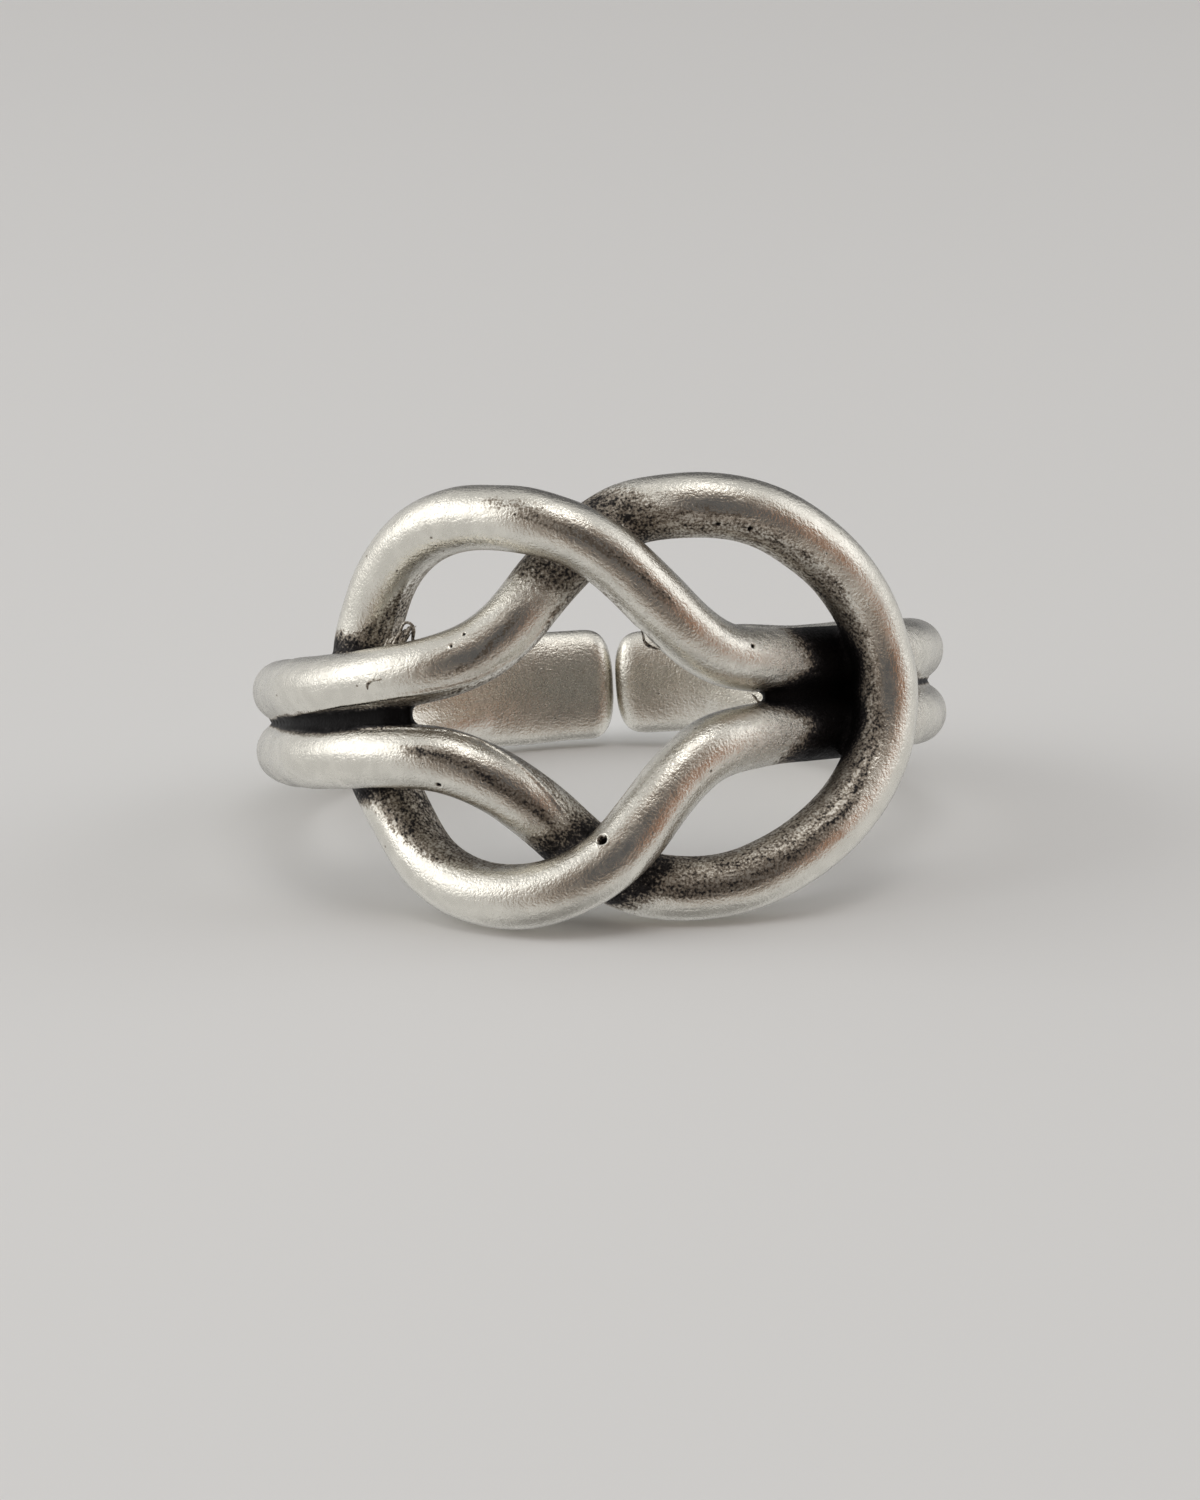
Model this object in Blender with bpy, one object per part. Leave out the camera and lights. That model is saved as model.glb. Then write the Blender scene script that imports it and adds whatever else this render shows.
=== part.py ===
"""Knot ring: two round wire bights, cast as one, locked in a reef knot over the finger.

Each bight's two legs lie side by side round the finger and flatten at the back into a tab.
The two tabs almost meet, so the ring can be sprung open a little. It is modelled standing
round its finger axis Z with the knot at -Y, and is then laid down as it rests by itself.
Lengths are metres.
"""

import math

import bmesh
import bpy
import numpy as np
from mathutils import Matrix, Vector

MM = 0.001

# Wire and knot
FINGER_DIAMETER = 17.5 * MM
WIRE_DIAMETER = 1.9 * MM
CROSSING_SINK = 0.3 * MM  # how deep one wire is cast into the other where they cross
KNOT_HEIGHT = 13.1 * MM  # over both bights, along the finger
KNOT_REACH = 7.95 * MM  # from the knot's middle to a bight's far turn, round the finger
LEG_GROOVE = 0.17 * MM  # between the two wires of a shank

# Web in the groove between two legs
WEB_THICKNESS = 0.8 * MM
WEB_START = 5.0 * MM  # from the knot's middle, round the finger
WEB_LEAD = 0.8  # share of the web's start from which the legs' places are read

# Tabs at the back
TAB_LENGTH = 6.9 * MM  # from where a tab begins to the middle of the back
TAB_THICKNESS = 1.45 * MM
LEFT_TAB_HEIGHT = 3.55 * MM
RIGHT_TAB_HEIGHT = 3.3 * MM
LEFT_TAB_LIFT = 0.22 * MM  # of the tab's middle above the legs' own
RIGHT_TAB_LIFT = 0.33 * MM
TAB_CORNER = 0.5 * MM  # radius of the end's corners, seen from the finger
TAB_EDGE = 0.45 * MM  # radius of the long edges
END_GAP = 0.25 * MM
END_SHIFT = 0.7 * MM  # of the gap, from the middle of the back towards the right

# Finish
SILVER = (0.66, 0.64, 0.60, 1.0)
ROUGHNESS = 0.34

# Fineness of the faceted solid
WIRE_STEP = 0.75 * MM
WIRE_RINGS = 7  # bevel resolution: a wire has 2 * (WIRE_RINGS + 2) sides
WEB_SECTIONS = 16
TAB_STEPS = 12
EDGE_SEGMENTS = 4
END_SECTIONS = 5
SHARP_ANGLE = math.radians(50)
SAME_POINT = 0.001 * MM  # points closer than this are one

LEFT, RIGHT = -1, 1
INNER_RADIUS = FINGER_DIAMETER / 2
WIRE_RADIUS = WIRE_DIAMETER / 2
INNER_LAYER = INNER_RADIUS + WIRE_RADIUS
LAYER_STEP = WIRE_DIAMETER - CROSSING_SINK
KNOT_HALF = (KNOT_HEIGHT - WIRE_DIAMETER) / 2
LEG_HALF = (WIRE_DIAMETER + LEG_GROOVE) / 2
REACH_ANGLE = KNOT_REACH / INNER_LAYER
WEB_ANGLE = WEB_START / INNER_LAYER
TAB_ANGLE = TAB_LENGTH / INNER_LAYER
TAB_MIDDLE = INNER_RADIUS + TAB_THICKNESS / 2
TAB_HEIGHTS = {LEFT: LEFT_TAB_HEIGHT, RIGHT: RIGHT_TAB_HEIGHT}
TAB_LIFTS = {LEFT: LEFT_TAB_LIFT, RIGHT: RIGHT_TAB_LIFT}

# A bight's centreline in the knot, from its upper leg round to its lower leg.
# Columns: round, share of the reach, plus towards the right; up, share of the knot's half
# height; out, share of the step from the inner layer to the outer one.

# Legs at the right, turn at the left: over at the middle crossings, under at its own turn
LEFT_BIGHT = (
    (0.60, 0.20, 0.15),
    (0.43, 0.255, 0.38),
    (0.27, 0.43, 0.68),
    (0.15, 0.635, 0.87),
    (0.01, 0.845, 1.0),
    (-0.17, 0.98, 0.93),
    (-0.36, 1.03, 0.62),
    (-0.54, 1.0, 0.36),
    (-0.73, 0.865, 0.13),
    (-0.90, 0.58, 0.0),
    (-0.975, 0.29, 0.0),
    (-0.975, -0.01, 0.0),
    (-0.94, -0.23, 0.0),
    (-0.855, -0.45, 0.02),
    (-0.72, -0.70, 0.17),
    (-0.55, -0.875, 0.45),
    (-0.33, -0.955, 0.75),
    (-0.14, -0.91, 0.95),
    (0.01, -0.775, 1.0),
    (0.14, -0.555, 0.85),
    (0.26, -0.36, 0.62),
    (0.38, -0.25, 0.4),
    (0.56, -0.20, 0.18),
)

# Legs at the left, turn at the right: under at the middle crossings, over at its own turn
RIGHT_BIGHT = (
    (-0.75, 0.21, 1.0),
    (-0.55, 0.255, 0.95),
    (-0.42, 0.32, 0.7),
    (-0.30, 0.455, 0.42),
    (-0.19, 0.645, 0.17),
    (-0.05, 0.84, 0.0),
    (0.12, 0.99, 0.12),
    (0.33, 1.03, 0.48),
    (0.52, 0.99, 0.75),
    (0.72, 0.82, 0.95),
    (0.90, 0.555, 1.0),
    (1.01, 0.235, 1.0),
    (1.03, -0.045, 1.0),
    (0.985, -0.30, 1.0),
    (0.86, -0.555, 1.0),
    (0.66, -0.795, 0.92),
    (0.44, -0.945, 0.62),
    (0.24, -0.965, 0.28),
    (0.07, -0.905, 0.03),
    (-0.06, -0.785, 0.02),
    (-0.18, -0.61, 0.18),
    (-0.28, -0.46, 0.45),
    (-0.38, -0.335, 0.72),
    (-0.52, -0.23, 0.95),
    (-0.75, -0.185, 1.0),
)

# The legs beyond the knot, at their own level. Columns: round, share of the reach;
# past, share of the run from the reach to the tab; out, share of the layer step.
LEFT_LEGS = ((1.0, 0.0, 0.84), (1.0, 0.15, 0.45), (1.0, 0.30, 0.12))
RIGHT_LEGS = ((0.80, 0.0, 0.03), (1.02, 0.0, 0.0), (1.0, 0.13, 0.0))
PLAIN_LEG = (0.35, 0.7)  # shares of the way from there to where the leg starts to sink

# Where a leg sinks into its tab. Columns: along, share of the tab's length; sunk, from the
# free leg, 0, to its end inside the tab, 1.
LEG_END = ((-0.45, 0.0), (-0.25, 0.10), (-0.05, 0.35), (0.15, 0.65), (0.35, 1.0))
LEG_END_GIRTH = 0.81  # share of the tab's thickness
LEG_END_HEIGHT = 0.25  # share of the tab's height, above and below its middle

# A tab's sections. Columns: along, share of its length; high, thick and lifted, shares of
# its full height, thickness and lift.
TAB_SECTIONS = (
    (-0.35, 0.45, 0.20, 0.0),
    (-0.20, 0.66, 0.42, 0.1),
    (-0.08, 0.84, 0.66, 0.25),
    (0.04, 0.95, 0.84, 0.5),
    (0.16, 1.01, 0.95, 0.75),
    (0.30, 1.03, 1.0, 1.0),
    (0.50, 1.03, 1.0, 1.0),
    (0.80, 1.0, 1.0, 1.0),
)
END_SHAVE = 0.6  # of the edge radius, taken off both faces of a tab at its very end
EDGE_LIMIT = 0.49  # largest share of a thin section that an edge's radius takes


def clear_scene():
    for item in list(bpy.data.objects):
        bpy.data.objects.remove(item, do_unlink=True)


def on_finger(angle, radius, height):
    """Point at an angle from the front, a radius from the finger's axis and a height."""
    return Vector((radius * math.sin(angle), -radius * math.cos(angle), height))


def smooth_curve(knots, values, at):
    """Natural cubic spline through values at knots, read at the places in at."""
    step = np.diff(knots)
    count = len(knots)
    system = np.eye(count)
    right = np.zeros_like(values)
    for i in range(1, count - 1):
        system[i, i - 1 : i + 2] = step[i - 1], 2 * (step[i - 1] + step[i]), step[i]
        rise = (values[i + 1] - values[i]) / step[i] - (values[i] - values[i - 1]) / step[i - 1]
        right[i] = 6 * rise
    bend = np.linalg.solve(system, right)
    k = np.clip(np.searchsorted(knots, at, side="right") - 1, 0, count - 2)
    span = step[k][:, None]
    ahead = (knots[k + 1] - at)[:, None]
    behind = (at - knots[k])[:, None]
    cubic = (bend[k] * ahead**3 + bend[k + 1] * behind**3) / (6 * span)
    near = (values[k] / span - bend[k] * span / 6) * ahead
    far = (values[k + 1] / span - bend[k + 1] * span / 6) * behind
    return cubic + near + far


def tab_start(side):
    return side * (math.pi - TAB_ANGLE)


def tab_end(side):
    """Angle of a tab's end face, half the gap short of the gap's shifted middle."""
    return side * (math.pi - (side * END_SHIFT + END_GAP / 2) / TAB_MIDDLE)


def leg_rows(side, legs, level):
    """Rows of one leg beyond the knot: angle, height, radius and wire radius."""
    start = tab_start(side)
    rows = []
    for share, past, out in legs:
        angle = side * share * REACH_ANGLE + past * (start - side * REACH_ANGLE)
        rows.append((angle, level * LEG_HALF, INNER_LAYER + out * LAYER_STEP, WIRE_RADIUS))
    last = rows[-1][0]
    sinking = start + LEG_END[0][0] * side * TAB_ANGLE
    for share in PLAIN_LEG:
        rows.append((last + share * (sinking - last), level * LEG_HALF, INNER_LAYER, WIRE_RADIUS))
    end_height = level * LEG_END_HEIGHT * TAB_HEIGHTS[side] + TAB_LIFTS[side]
    end_girth = LEG_END_GIRTH * TAB_THICKNESS / 2
    for along, sunk in LEG_END:
        rows.append(
            (
                start + along * side * TAB_ANGLE,
                level * LEG_HALF + sunk * (end_height - level * LEG_HALF),
                INNER_LAYER + sunk * (TAB_MIDDLE - INNER_LAYER),
                WIRE_RADIUS + sunk * (end_girth - WIRE_RADIUS),
            )
        )
    return rows


def centreline(side, bight, legs):
    """Rows along a whole bight, evenly spaced: angle, height, radius and wire radius."""
    knot = [
        (share * REACH_ANGLE, up * KNOT_HALF, INNER_LAYER + out * LAYER_STEP, WIRE_RADIUS)
        for share, up, out in bight
    ]
    upper = leg_rows(side, legs, 1.0)
    lower = leg_rows(side, legs, -1.0)
    rows = np.array(upper[::-1] + knot + lower)
    places = np.array([on_finger(angle, radius, height) for angle, height, radius, _ in rows])
    length = np.concatenate([[0.0], np.cumsum(np.linalg.norm(np.diff(places, axis=0), axis=1))])
    count = int(length[-1] / WIRE_STEP) + 1
    return smooth_curve(length, rows, np.linspace(0.0, length[-1], count))


def closed_object(name, mesh):
    """Object from a mesh, with its caps joined on and its faces turned outwards."""
    body = bmesh.new()
    body.from_mesh(mesh)
    bmesh.ops.remove_doubles(body, verts=body.verts, dist=SAME_POINT)
    bmesh.ops.recalc_face_normals(body, faces=body.faces)
    body.to_mesh(mesh)
    body.free()
    item = bpy.data.objects.new(name, mesh)
    bpy.context.collection.objects.link(item)
    return item


def wire(name, rows):
    """Round wire of varying girth along a centreline, with closed ends."""
    curve = bpy.data.curves.new(name, "CURVE")
    curve.dimensions = "3D"
    curve.bevel_depth = WIRE_RADIUS
    curve.bevel_resolution = WIRE_RINGS
    curve.use_fill_caps = True
    spline = curve.splines.new("POLY")
    spline.points.add(len(rows) - 1)
    for point, (angle, height, radius, girth) in zip(spline.points, rows):
        point.co = (*on_finger(angle, radius, height), 1.0)
        point.radius = girth / WIRE_RADIUS
    guide = bpy.data.objects.new(name, curve)
    bpy.context.collection.objects.link(guide)
    bpy.context.view_layer.update()
    mesh = bpy.data.meshes.new_from_object(guide)
    bpy.data.objects.remove(guide, do_unlink=True)
    return closed_object(name, mesh)


def loft(name, sections):
    """Closed body through sections with the same number of points."""
    body = bmesh.new()
    rings = [[body.verts.new(point) for point in section] for section in sections]
    for before, after in zip(rings, rings[1:]):
        for i in range(len(before)):
            j = (i + 1) % len(before)
            body.faces.new((before[i], before[j], after[j], after[i]))
    body.faces.new(rings[0])
    body.faces.new(rings[-1])
    mesh = bpy.data.meshes.new(name)
    body.to_mesh(mesh)
    body.free()
    return closed_object(name, mesh)


def web(name, side, rows):
    """Strip of metal between the two legs of a side, from the knot to the tab."""
    half = len(rows) // 2
    legs = []
    for leg in (rows[:half], rows[half:]):
        leg = leg[side * leg[:, 0] > WEB_LEAD * WEB_ANGLE]
        legs.append(leg[np.argsort(side * leg[:, 0])])
    sections = []
    for angle in np.linspace(WEB_ANGLE, abs(tab_start(side)), WEB_SECTIONS):
        (top, top_radius), (bottom, bottom_radius) = [
            [np.interp(angle, side * leg[:, 0], leg[:, column]) for column in (1, 2)]
            for leg in legs
        ]
        half_web = WEB_THICKNESS / 2
        sections.append(
            [
                on_finger(side * angle, top_radius - half_web, top),
                on_finger(side * angle, top_radius + half_web, top),
                on_finger(side * angle, bottom_radius + half_web, bottom),
                on_finger(side * angle, bottom_radius - half_web, bottom),
            ]
        )
    return loft(name, sections)


def tab_section(angle, thickness, height, middle):
    """Section of a tab: a rectangle with its four edges rounded."""
    edge = min(TAB_EDGE, EDGE_LIMIT * thickness, EDGE_LIMIT * height)
    across = thickness / 2 - edge
    along = height / 2 - edge
    corners = ((-across, -along), (across, -along), (across, along), (-across, along))
    points = []
    for quarter, (out, up) in enumerate(corners):
        for k in range(EDGE_SEGMENTS + 1):
            turn = math.pi + 0.5 * math.pi * (quarter + k / EDGE_SEGMENTS)
            radius = TAB_MIDDLE + out + edge * math.cos(turn)
            points.append(on_finger(angle, radius, middle + up + edge * math.sin(turn)))
    return points


def tab(name, side):
    """Flattened end of a shank, growing out of the legs, with a rounded end."""
    start = tab_start(side)
    end = tab_end(side)
    table = np.array(TAB_SECTIONS)
    places = np.linspace(table[0, 0], table[-1, 0], TAB_STEPS)
    sections = []
    for along, (high, thick, lifted) in zip(places, smooth_curve(table[:, 0], table[:, 1:], places)):
        sections.append(
            tab_section(
                start + along * (end - start),
                thick * TAB_THICKNESS,
                high * TAB_HEIGHTS[side],
                lifted * TAB_LIFTS[side],
            )
        )
    for k in range(END_SECTIONS):
        turn = 0.5 * math.pi * k / (END_SECTIONS - 1)
        back = TAB_CORNER * (1.0 - math.sin(turn)) / TAB_MIDDLE
        rounded = 1.0 - math.cos(turn)
        sections.append(
            tab_section(
                end - side * back,
                TAB_THICKNESS - 2 * END_SHAVE * TAB_EDGE * rounded,
                TAB_HEIGHTS[side] - 2 * TAB_CORNER * rounded,
                TAB_LIFTS[side],
            )
        )
    return loft(name, sections)


def silver():
    material = bpy.data.materials.new("antique_silver")
    material.use_nodes = True
    shader = material.node_tree.nodes["Principled BSDF"]
    shader.inputs["Base Color"].default_value = SILVER
    shader.inputs["Metallic"].default_value = 1.0
    shader.inputs["Roughness"].default_value = ROUGHNESS
    return material


def cast_together(name, parts):
    """One closed body from parts that run into each other."""
    whole = parts[0]
    for other in parts[1:]:
        joint = whole.modifiers.new(other.name, "BOOLEAN")
        joint.operation = "UNION"
        joint.solver = "EXACT"
        joint.object = other
    bpy.context.view_layer.update()
    graph = bpy.context.evaluated_depsgraph_get()
    mesh = bpy.data.meshes.new_from_object(whole.evaluated_get(graph))
    for part in parts:
        bpy.data.objects.remove(part, do_unlink=True)
    item = bpy.data.objects.new(name, mesh)
    bpy.context.collection.objects.link(item)
    return item


def centre_of_mass(mesh):
    """Centre of a closed mesh's volume, as the sum of the solids from the origin to its faces."""
    mesh.calc_loop_triangles()
    corners = np.array([vertex.co for vertex in mesh.vertices])
    first, second, third = (
        corners[[triangle.vertices[k] for triangle in mesh.loop_triangles]] for k in range(3)
    )
    volumes = np.einsum("ij,ij->i", first, np.cross(second, third)) / 6
    centres = (first + second + third) / 4
    return Vector(volumes @ centres / volumes.sum())


def resting_normal(mesh):
    """Outward normal of the side that the ring lies on.

    Of the faces of its convex hull that lie under its centre of mass, this is the one
    that faces down most, with the finger's axis upright.
    """
    centre = centre_of_mass(mesh)
    hull = bmesh.new()
    hull.from_mesh(mesh)
    made = bmesh.ops.convex_hull(hull, input=hull.verts, use_existing_faces=False)
    faces = [item for item in made["geom"] if isinstance(item, bmesh.types.BMFace)]
    chosen = Vector((0.0, 0.0, 1.0))
    for face in faces:
        face.normal_update()
        normal = face.normal.copy()
        corners = [vertex.co for vertex in face.verts]
        if normal.dot(corners[0] - centre) < 0.0:
            normal.negate()
            corners.reverse()
        under = centre + normal * normal.dot(corners[0] - centre)
        inside = all(
            (after - before).cross(under - before).dot(normal) >= 0.0
            for before, after in zip(corners, corners[1:] + corners[:1])
        )
        if inside and normal.z < chosen.z:
            chosen = normal
    hull.free()
    return chosen


def lay_down(item):
    """Lays the ring on its side, with the middle of its base at the origin."""
    down = Vector((0.0, 0.0, -1.0))
    turn = resting_normal(item.data).rotation_difference(down)
    item.data.transform(turn.to_matrix().to_4x4())
    points = np.array([vertex.co for vertex in item.data.vertices])
    low = points.min(axis=0)
    middle = (low + points.max(axis=0)) / 2
    item.data.transform(Matrix.Translation((-middle[0], -middle[1], -low[2])))


def main():
    clear_scene()
    left_bight = centreline(RIGHT, LEFT_BIGHT, RIGHT_LEGS)
    right_bight = centreline(LEFT, RIGHT_BIGHT, LEFT_LEGS)
    ring = cast_together(
        "knot_ring",
        [
            wire("left_bight", left_bight),
            wire("right_bight", right_bight),
            web("right_web", RIGHT, left_bight),
            web("left_web", LEFT, right_bight),
            tab("right_tab", RIGHT),
            tab("left_tab", LEFT),
        ],
    )
    lay_down(ring)
    ring.data.materials.clear()
    ring.data.materials.append(silver())
    ring.data.shade_smooth()
    ring.data.set_sharp_from_angle(angle=SHARP_ANGLE)


main()
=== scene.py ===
"""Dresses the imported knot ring, a reef knot of two wires cast in one and plated in antique silver.

The wires, the webs between their legs and the flattened tabs are worked out as surfaces in
the ring's own frame: finger axis Z, knot at -Y. They are cast into one skin, which is then
drawn onto the smooth form they have together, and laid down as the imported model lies.
Lengths are metres.
"""

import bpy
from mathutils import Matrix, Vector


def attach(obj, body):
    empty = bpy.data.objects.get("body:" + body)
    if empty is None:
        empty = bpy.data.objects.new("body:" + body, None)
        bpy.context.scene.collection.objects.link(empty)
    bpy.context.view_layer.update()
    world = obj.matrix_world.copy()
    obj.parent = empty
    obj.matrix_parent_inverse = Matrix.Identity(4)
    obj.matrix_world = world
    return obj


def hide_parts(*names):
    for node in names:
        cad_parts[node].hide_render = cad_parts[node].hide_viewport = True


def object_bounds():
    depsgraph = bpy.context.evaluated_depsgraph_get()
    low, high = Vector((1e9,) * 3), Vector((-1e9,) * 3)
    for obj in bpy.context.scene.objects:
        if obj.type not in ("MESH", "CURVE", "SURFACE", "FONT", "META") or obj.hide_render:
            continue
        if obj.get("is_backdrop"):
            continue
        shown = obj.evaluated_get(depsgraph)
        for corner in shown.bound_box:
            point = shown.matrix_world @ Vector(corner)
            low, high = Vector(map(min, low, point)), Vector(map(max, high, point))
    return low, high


bl_info = {
    "name": "Knot Ring",
    "version": (1, 0, 0),
    "blender": (4, 5, 0),
    "location": "View3D > Sidebar > Knot Ring",
    "description": "Makes a cast knot ring in antique silver, and a stage for it",
    "category": "Add Mesh",
}

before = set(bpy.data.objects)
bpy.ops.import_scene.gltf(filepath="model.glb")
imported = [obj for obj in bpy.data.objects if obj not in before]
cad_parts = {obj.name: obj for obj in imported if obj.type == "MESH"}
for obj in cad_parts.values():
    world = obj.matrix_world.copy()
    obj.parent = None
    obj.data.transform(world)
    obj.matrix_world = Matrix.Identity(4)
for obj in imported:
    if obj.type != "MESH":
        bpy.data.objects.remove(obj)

import math
from types import SimpleNamespace

import bmesh
import bpy
import numpy as np
from bpy.props import FloatProperty, FloatVectorProperty, PointerProperty
from bpy.types import Operator, Panel, PropertyGroup
from mathutils import Matrix, Vector

CAD_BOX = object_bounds()
CAD_NODE = "knot_ring"
BODY = "root"
PLATING = "antique_silver_plate"  # the material of all the pieces

MM = 0.001
LEFT, RIGHT = -1, 1

# How the ring lies: the lean of its finger axis, and the level line that it leans about
LEAN = math.radians(13.54)
LEAN_LINE = math.radians(187.61)  # from +X towards +Y

# A bight's centreline in the knot, from its upper leg round to its lower leg.
# Columns: round, share of the reach, plus towards the right; up, share of the knot's half
# height; out, share of the step from the inner layer to the outer one.

# Legs at the right, turn at the left: over at the middle crossings, under at its own turn
LEFT_BIGHT = (
    (0.60, 0.20, 0.15),
    (0.43, 0.255, 0.38),
    (0.27, 0.43, 0.68),
    (0.15, 0.635, 0.87),
    (0.01, 0.845, 1.0),
    (-0.17, 0.98, 0.93),
    (-0.36, 1.03, 0.62),
    (-0.54, 1.0, 0.36),
    (-0.73, 0.865, 0.13),
    (-0.90, 0.58, 0.0),
    (-0.975, 0.29, 0.0),
    (-0.975, -0.01, 0.0),
    (-0.94, -0.23, 0.0),
    (-0.855, -0.45, 0.02),
    (-0.72, -0.70, 0.17),
    (-0.55, -0.875, 0.45),
    (-0.33, -0.955, 0.75),
    (-0.14, -0.91, 0.95),
    (0.01, -0.775, 1.0),
    (0.14, -0.555, 0.85),
    (0.26, -0.36, 0.62),
    (0.38, -0.25, 0.4),
    (0.56, -0.20, 0.18),
)

# Legs at the left, turn at the right: under at the middle crossings, over at its own turn
RIGHT_BIGHT = (
    (-0.75, 0.21, 1.0),
    (-0.55, 0.255, 0.95),
    (-0.42, 0.32, 0.7),
    (-0.30, 0.455, 0.42),
    (-0.19, 0.645, 0.17),
    (-0.05, 0.84, 0.0),
    (0.12, 0.99, 0.12),
    (0.33, 1.03, 0.48),
    (0.52, 0.99, 0.75),
    (0.72, 0.82, 0.95),
    (0.90, 0.555, 1.0),
    (1.01, 0.235, 1.0),
    (1.03, -0.045, 1.0),
    (0.985, -0.30, 1.0),
    (0.86, -0.555, 1.0),
    (0.66, -0.795, 0.92),
    (0.44, -0.945, 0.62),
    (0.24, -0.965, 0.28),
    (0.07, -0.905, 0.03),
    (-0.06, -0.785, 0.02),
    (-0.18, -0.61, 0.18),
    (-0.28, -0.46, 0.45),
    (-0.38, -0.335, 0.72),
    (-0.52, -0.23, 0.95),
    (-0.75, -0.185, 1.0),
)

# The legs beyond the knot, at their own level. Columns: round, share of the reach;
# past, share of the run from the reach to the tab; out, share of the layer step.
LEFT_LEGS = ((1.0, 0.0, 0.84), (1.0, 0.15, 0.45), (1.0, 0.30, 0.12))
RIGHT_LEGS = ((0.80, 0.0, 0.03), (1.02, 0.0, 0.0), (1.0, 0.13, 0.0))
PLAIN_LEG = (0.35, 0.7)  # shares of the way from there to where the leg starts to sink

# Where a leg sinks into its tab. Columns: along, share of the tab's length; sunk, from the
# free leg, 0, to its end inside the tab, 1.
LEG_END = ((-0.45, 0.0), (-0.25, 0.10), (-0.05, 0.35), (0.15, 0.65), (0.35, 1.0))
LEG_END_GIRTH = 0.81  # share of the tab's thickness
LEG_END_HEIGHT = 0.25  # share of the tab's height, above and below its middle

# The legs close up at the ring's sides: angles round the finger over which they close and
# part again, and how far the upper and the lower leg then move up, in mm.
LEG_CLOSING = (math.radians(43.0), math.radians(76.0))
LEG_PARTING = (math.radians(120.0), math.radians(150.0))
LEG_SHIFTS = {LEFT: (-0.15, 0.05), RIGHT: (0.0, 0.12)}

# A tab's sections. Columns: along, share of its length; high, thick and lifted, shares of
# its full height, thickness and lift.
TAB_SECTIONS = (
    (-0.35, 0.45, 0.20, 0.0),
    (-0.20, 0.66, 0.42, 0.1),
    (-0.08, 0.84, 0.66, 0.25),
    (0.04, 0.95, 0.84, 0.5),
    (0.16, 1.01, 0.95, 0.75),
    (0.30, 1.03, 1.0, 1.0),
    (0.50, 1.03, 1.0, 1.0),
    (0.80, 1.0, 1.0, 1.0),
    (1.00, 1.0, 1.0, 1.0),
)

# The webs' free edges
WEB_HOLLOW = 0.06 * MM
WEB_LIP = 0.4  # share of the web's thickness left at its edge
WEB_TAPER = 0.9 * MM

# Dark bands of oxide on the side of each wire that faces into its bight. Columns: along, in
# mm from the turn's middle, plus towards the lower leg; edge, the angle round the wire where
# the band begins, in degrees from facing out to facing into the bight; strength.
LEFT_BAND = (
    (-15.5, 70.0, 0.0),
    (-13.5, 62.0, 0.25),
    (-11.0, 66.0, 0.25),
    (-8.0, 78.0, 0.25),
    (-5.0, 78.0, 0.3),
    (-3.6, 64.0, 0.5),
    (-2.6, 42.0, 0.62),
    (-1.6, 14.0, 0.68),
    (0.0, -6.0, 0.7),
    (3.1, -4.0, 0.7),
    (4.6, 8.0, 0.62),
    (6.5, 30.0, 0.55),
    (8.4, 54.0, 0.4),
    (10.5, 72.0, 0.28),
    (13.5, 66.0, 0.28),
    (16.0, 66.0, 0.0),
)
RIGHT_BAND = (
    (-27.0, 66.0, 0.0),
    (-24.9, 60.0, 0.3),
    (-21.4, 48.0, 0.5),
    (-19.4, 48.0, 0.5),
    (-17.5, 66.0, 0.48),
    (-16.0, 78.0, 0.42),
    (-14.8, 50.0, 0.42),
    (-13.4, 15.0, 0.5),
    (-12.5, 5.0, 0.47),
    (-10.7, 0.0, 0.44),
    (-9.0, 4.0, 0.42),
    (-7.4, 20.0, 0.43),
    (-5.2, 37.0, 0.47),
    (-3.5, 52.0, 0.55),
    (-1.5, 60.0, 0.6),
    (0.4, 62.0, 0.6),
    (2.4, 52.0, 0.55),
    (4.3, 35.0, 0.5),
    (6.0, 19.0, 0.5),
    (7.7, 2.0, 0.5),
    (9.3, -8.0, 0.52),
    (10.9, -16.0, 0.56),
    (12.5, -10.0, 0.5),
    (14.2, 30.0, 0.4),
    (15.7, 62.0, 0.36),
    (17.2, 86.0, 0.44),
    (18.8, 72.0, 0.44),
    (21.0, 74.0, 0.4),
    (26.0, 78.0, 0.0),
)
BAND_SOFT = 17.0  # degrees over which a band begins
BAND_END = (125.0, 160.0)  # degrees round the wire over which it ends

# Oxide round the crossings of a wire. Columns: along, in mm as above, at the crossing; reach,
# in mm from the other wire; strength. The left bight's rows from 19 mm on either way, where its
# legs run under the right bight, are oxide and painted shade. Strengths past 0.95 are darkened
# further in the shader as painted shade.
LEFT_CROSSINGS = (
    (-21.7, 1.6, 1.9),
    (-19.0, 1.45, 1.8),
    (-16.0, 0.5, 0.7),
    (-11.5, 0.25, 0.5),
    (-6.0, 0.25, 0.5),
    (-0.2, 0.95, 1.3),
    (1.8, 0.95, 1.3),
    (7.0, 0.25, 0.5),
    (11.9, 0.25, 0.5),
    (16.0, 0.5, 0.7),
    (19.0, 1.45, 1.8),
    (22.3, 1.55, 1.9),
)
RIGHT_CROSSINGS = (
    (-22.9, 0.3, 0.6),
    (-16.0, 0.8, 0.6),
    (-12.5, 1.4, 0.75),
    (-6.0, 0.8, 0.7),
    (-1.0, 1.0, 1.7),
    (1.0, 1.0, 1.7),
    (6.0, 0.8, 0.9),
    (12.5, 1.0, 1.2),
    (16.0, 0.7, 0.8),
    (22.3, 0.3, 0.6),
)
CROSSING_FADE = (0.35, 1.25)  # shares of the reach over which the oxide fades out

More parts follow.
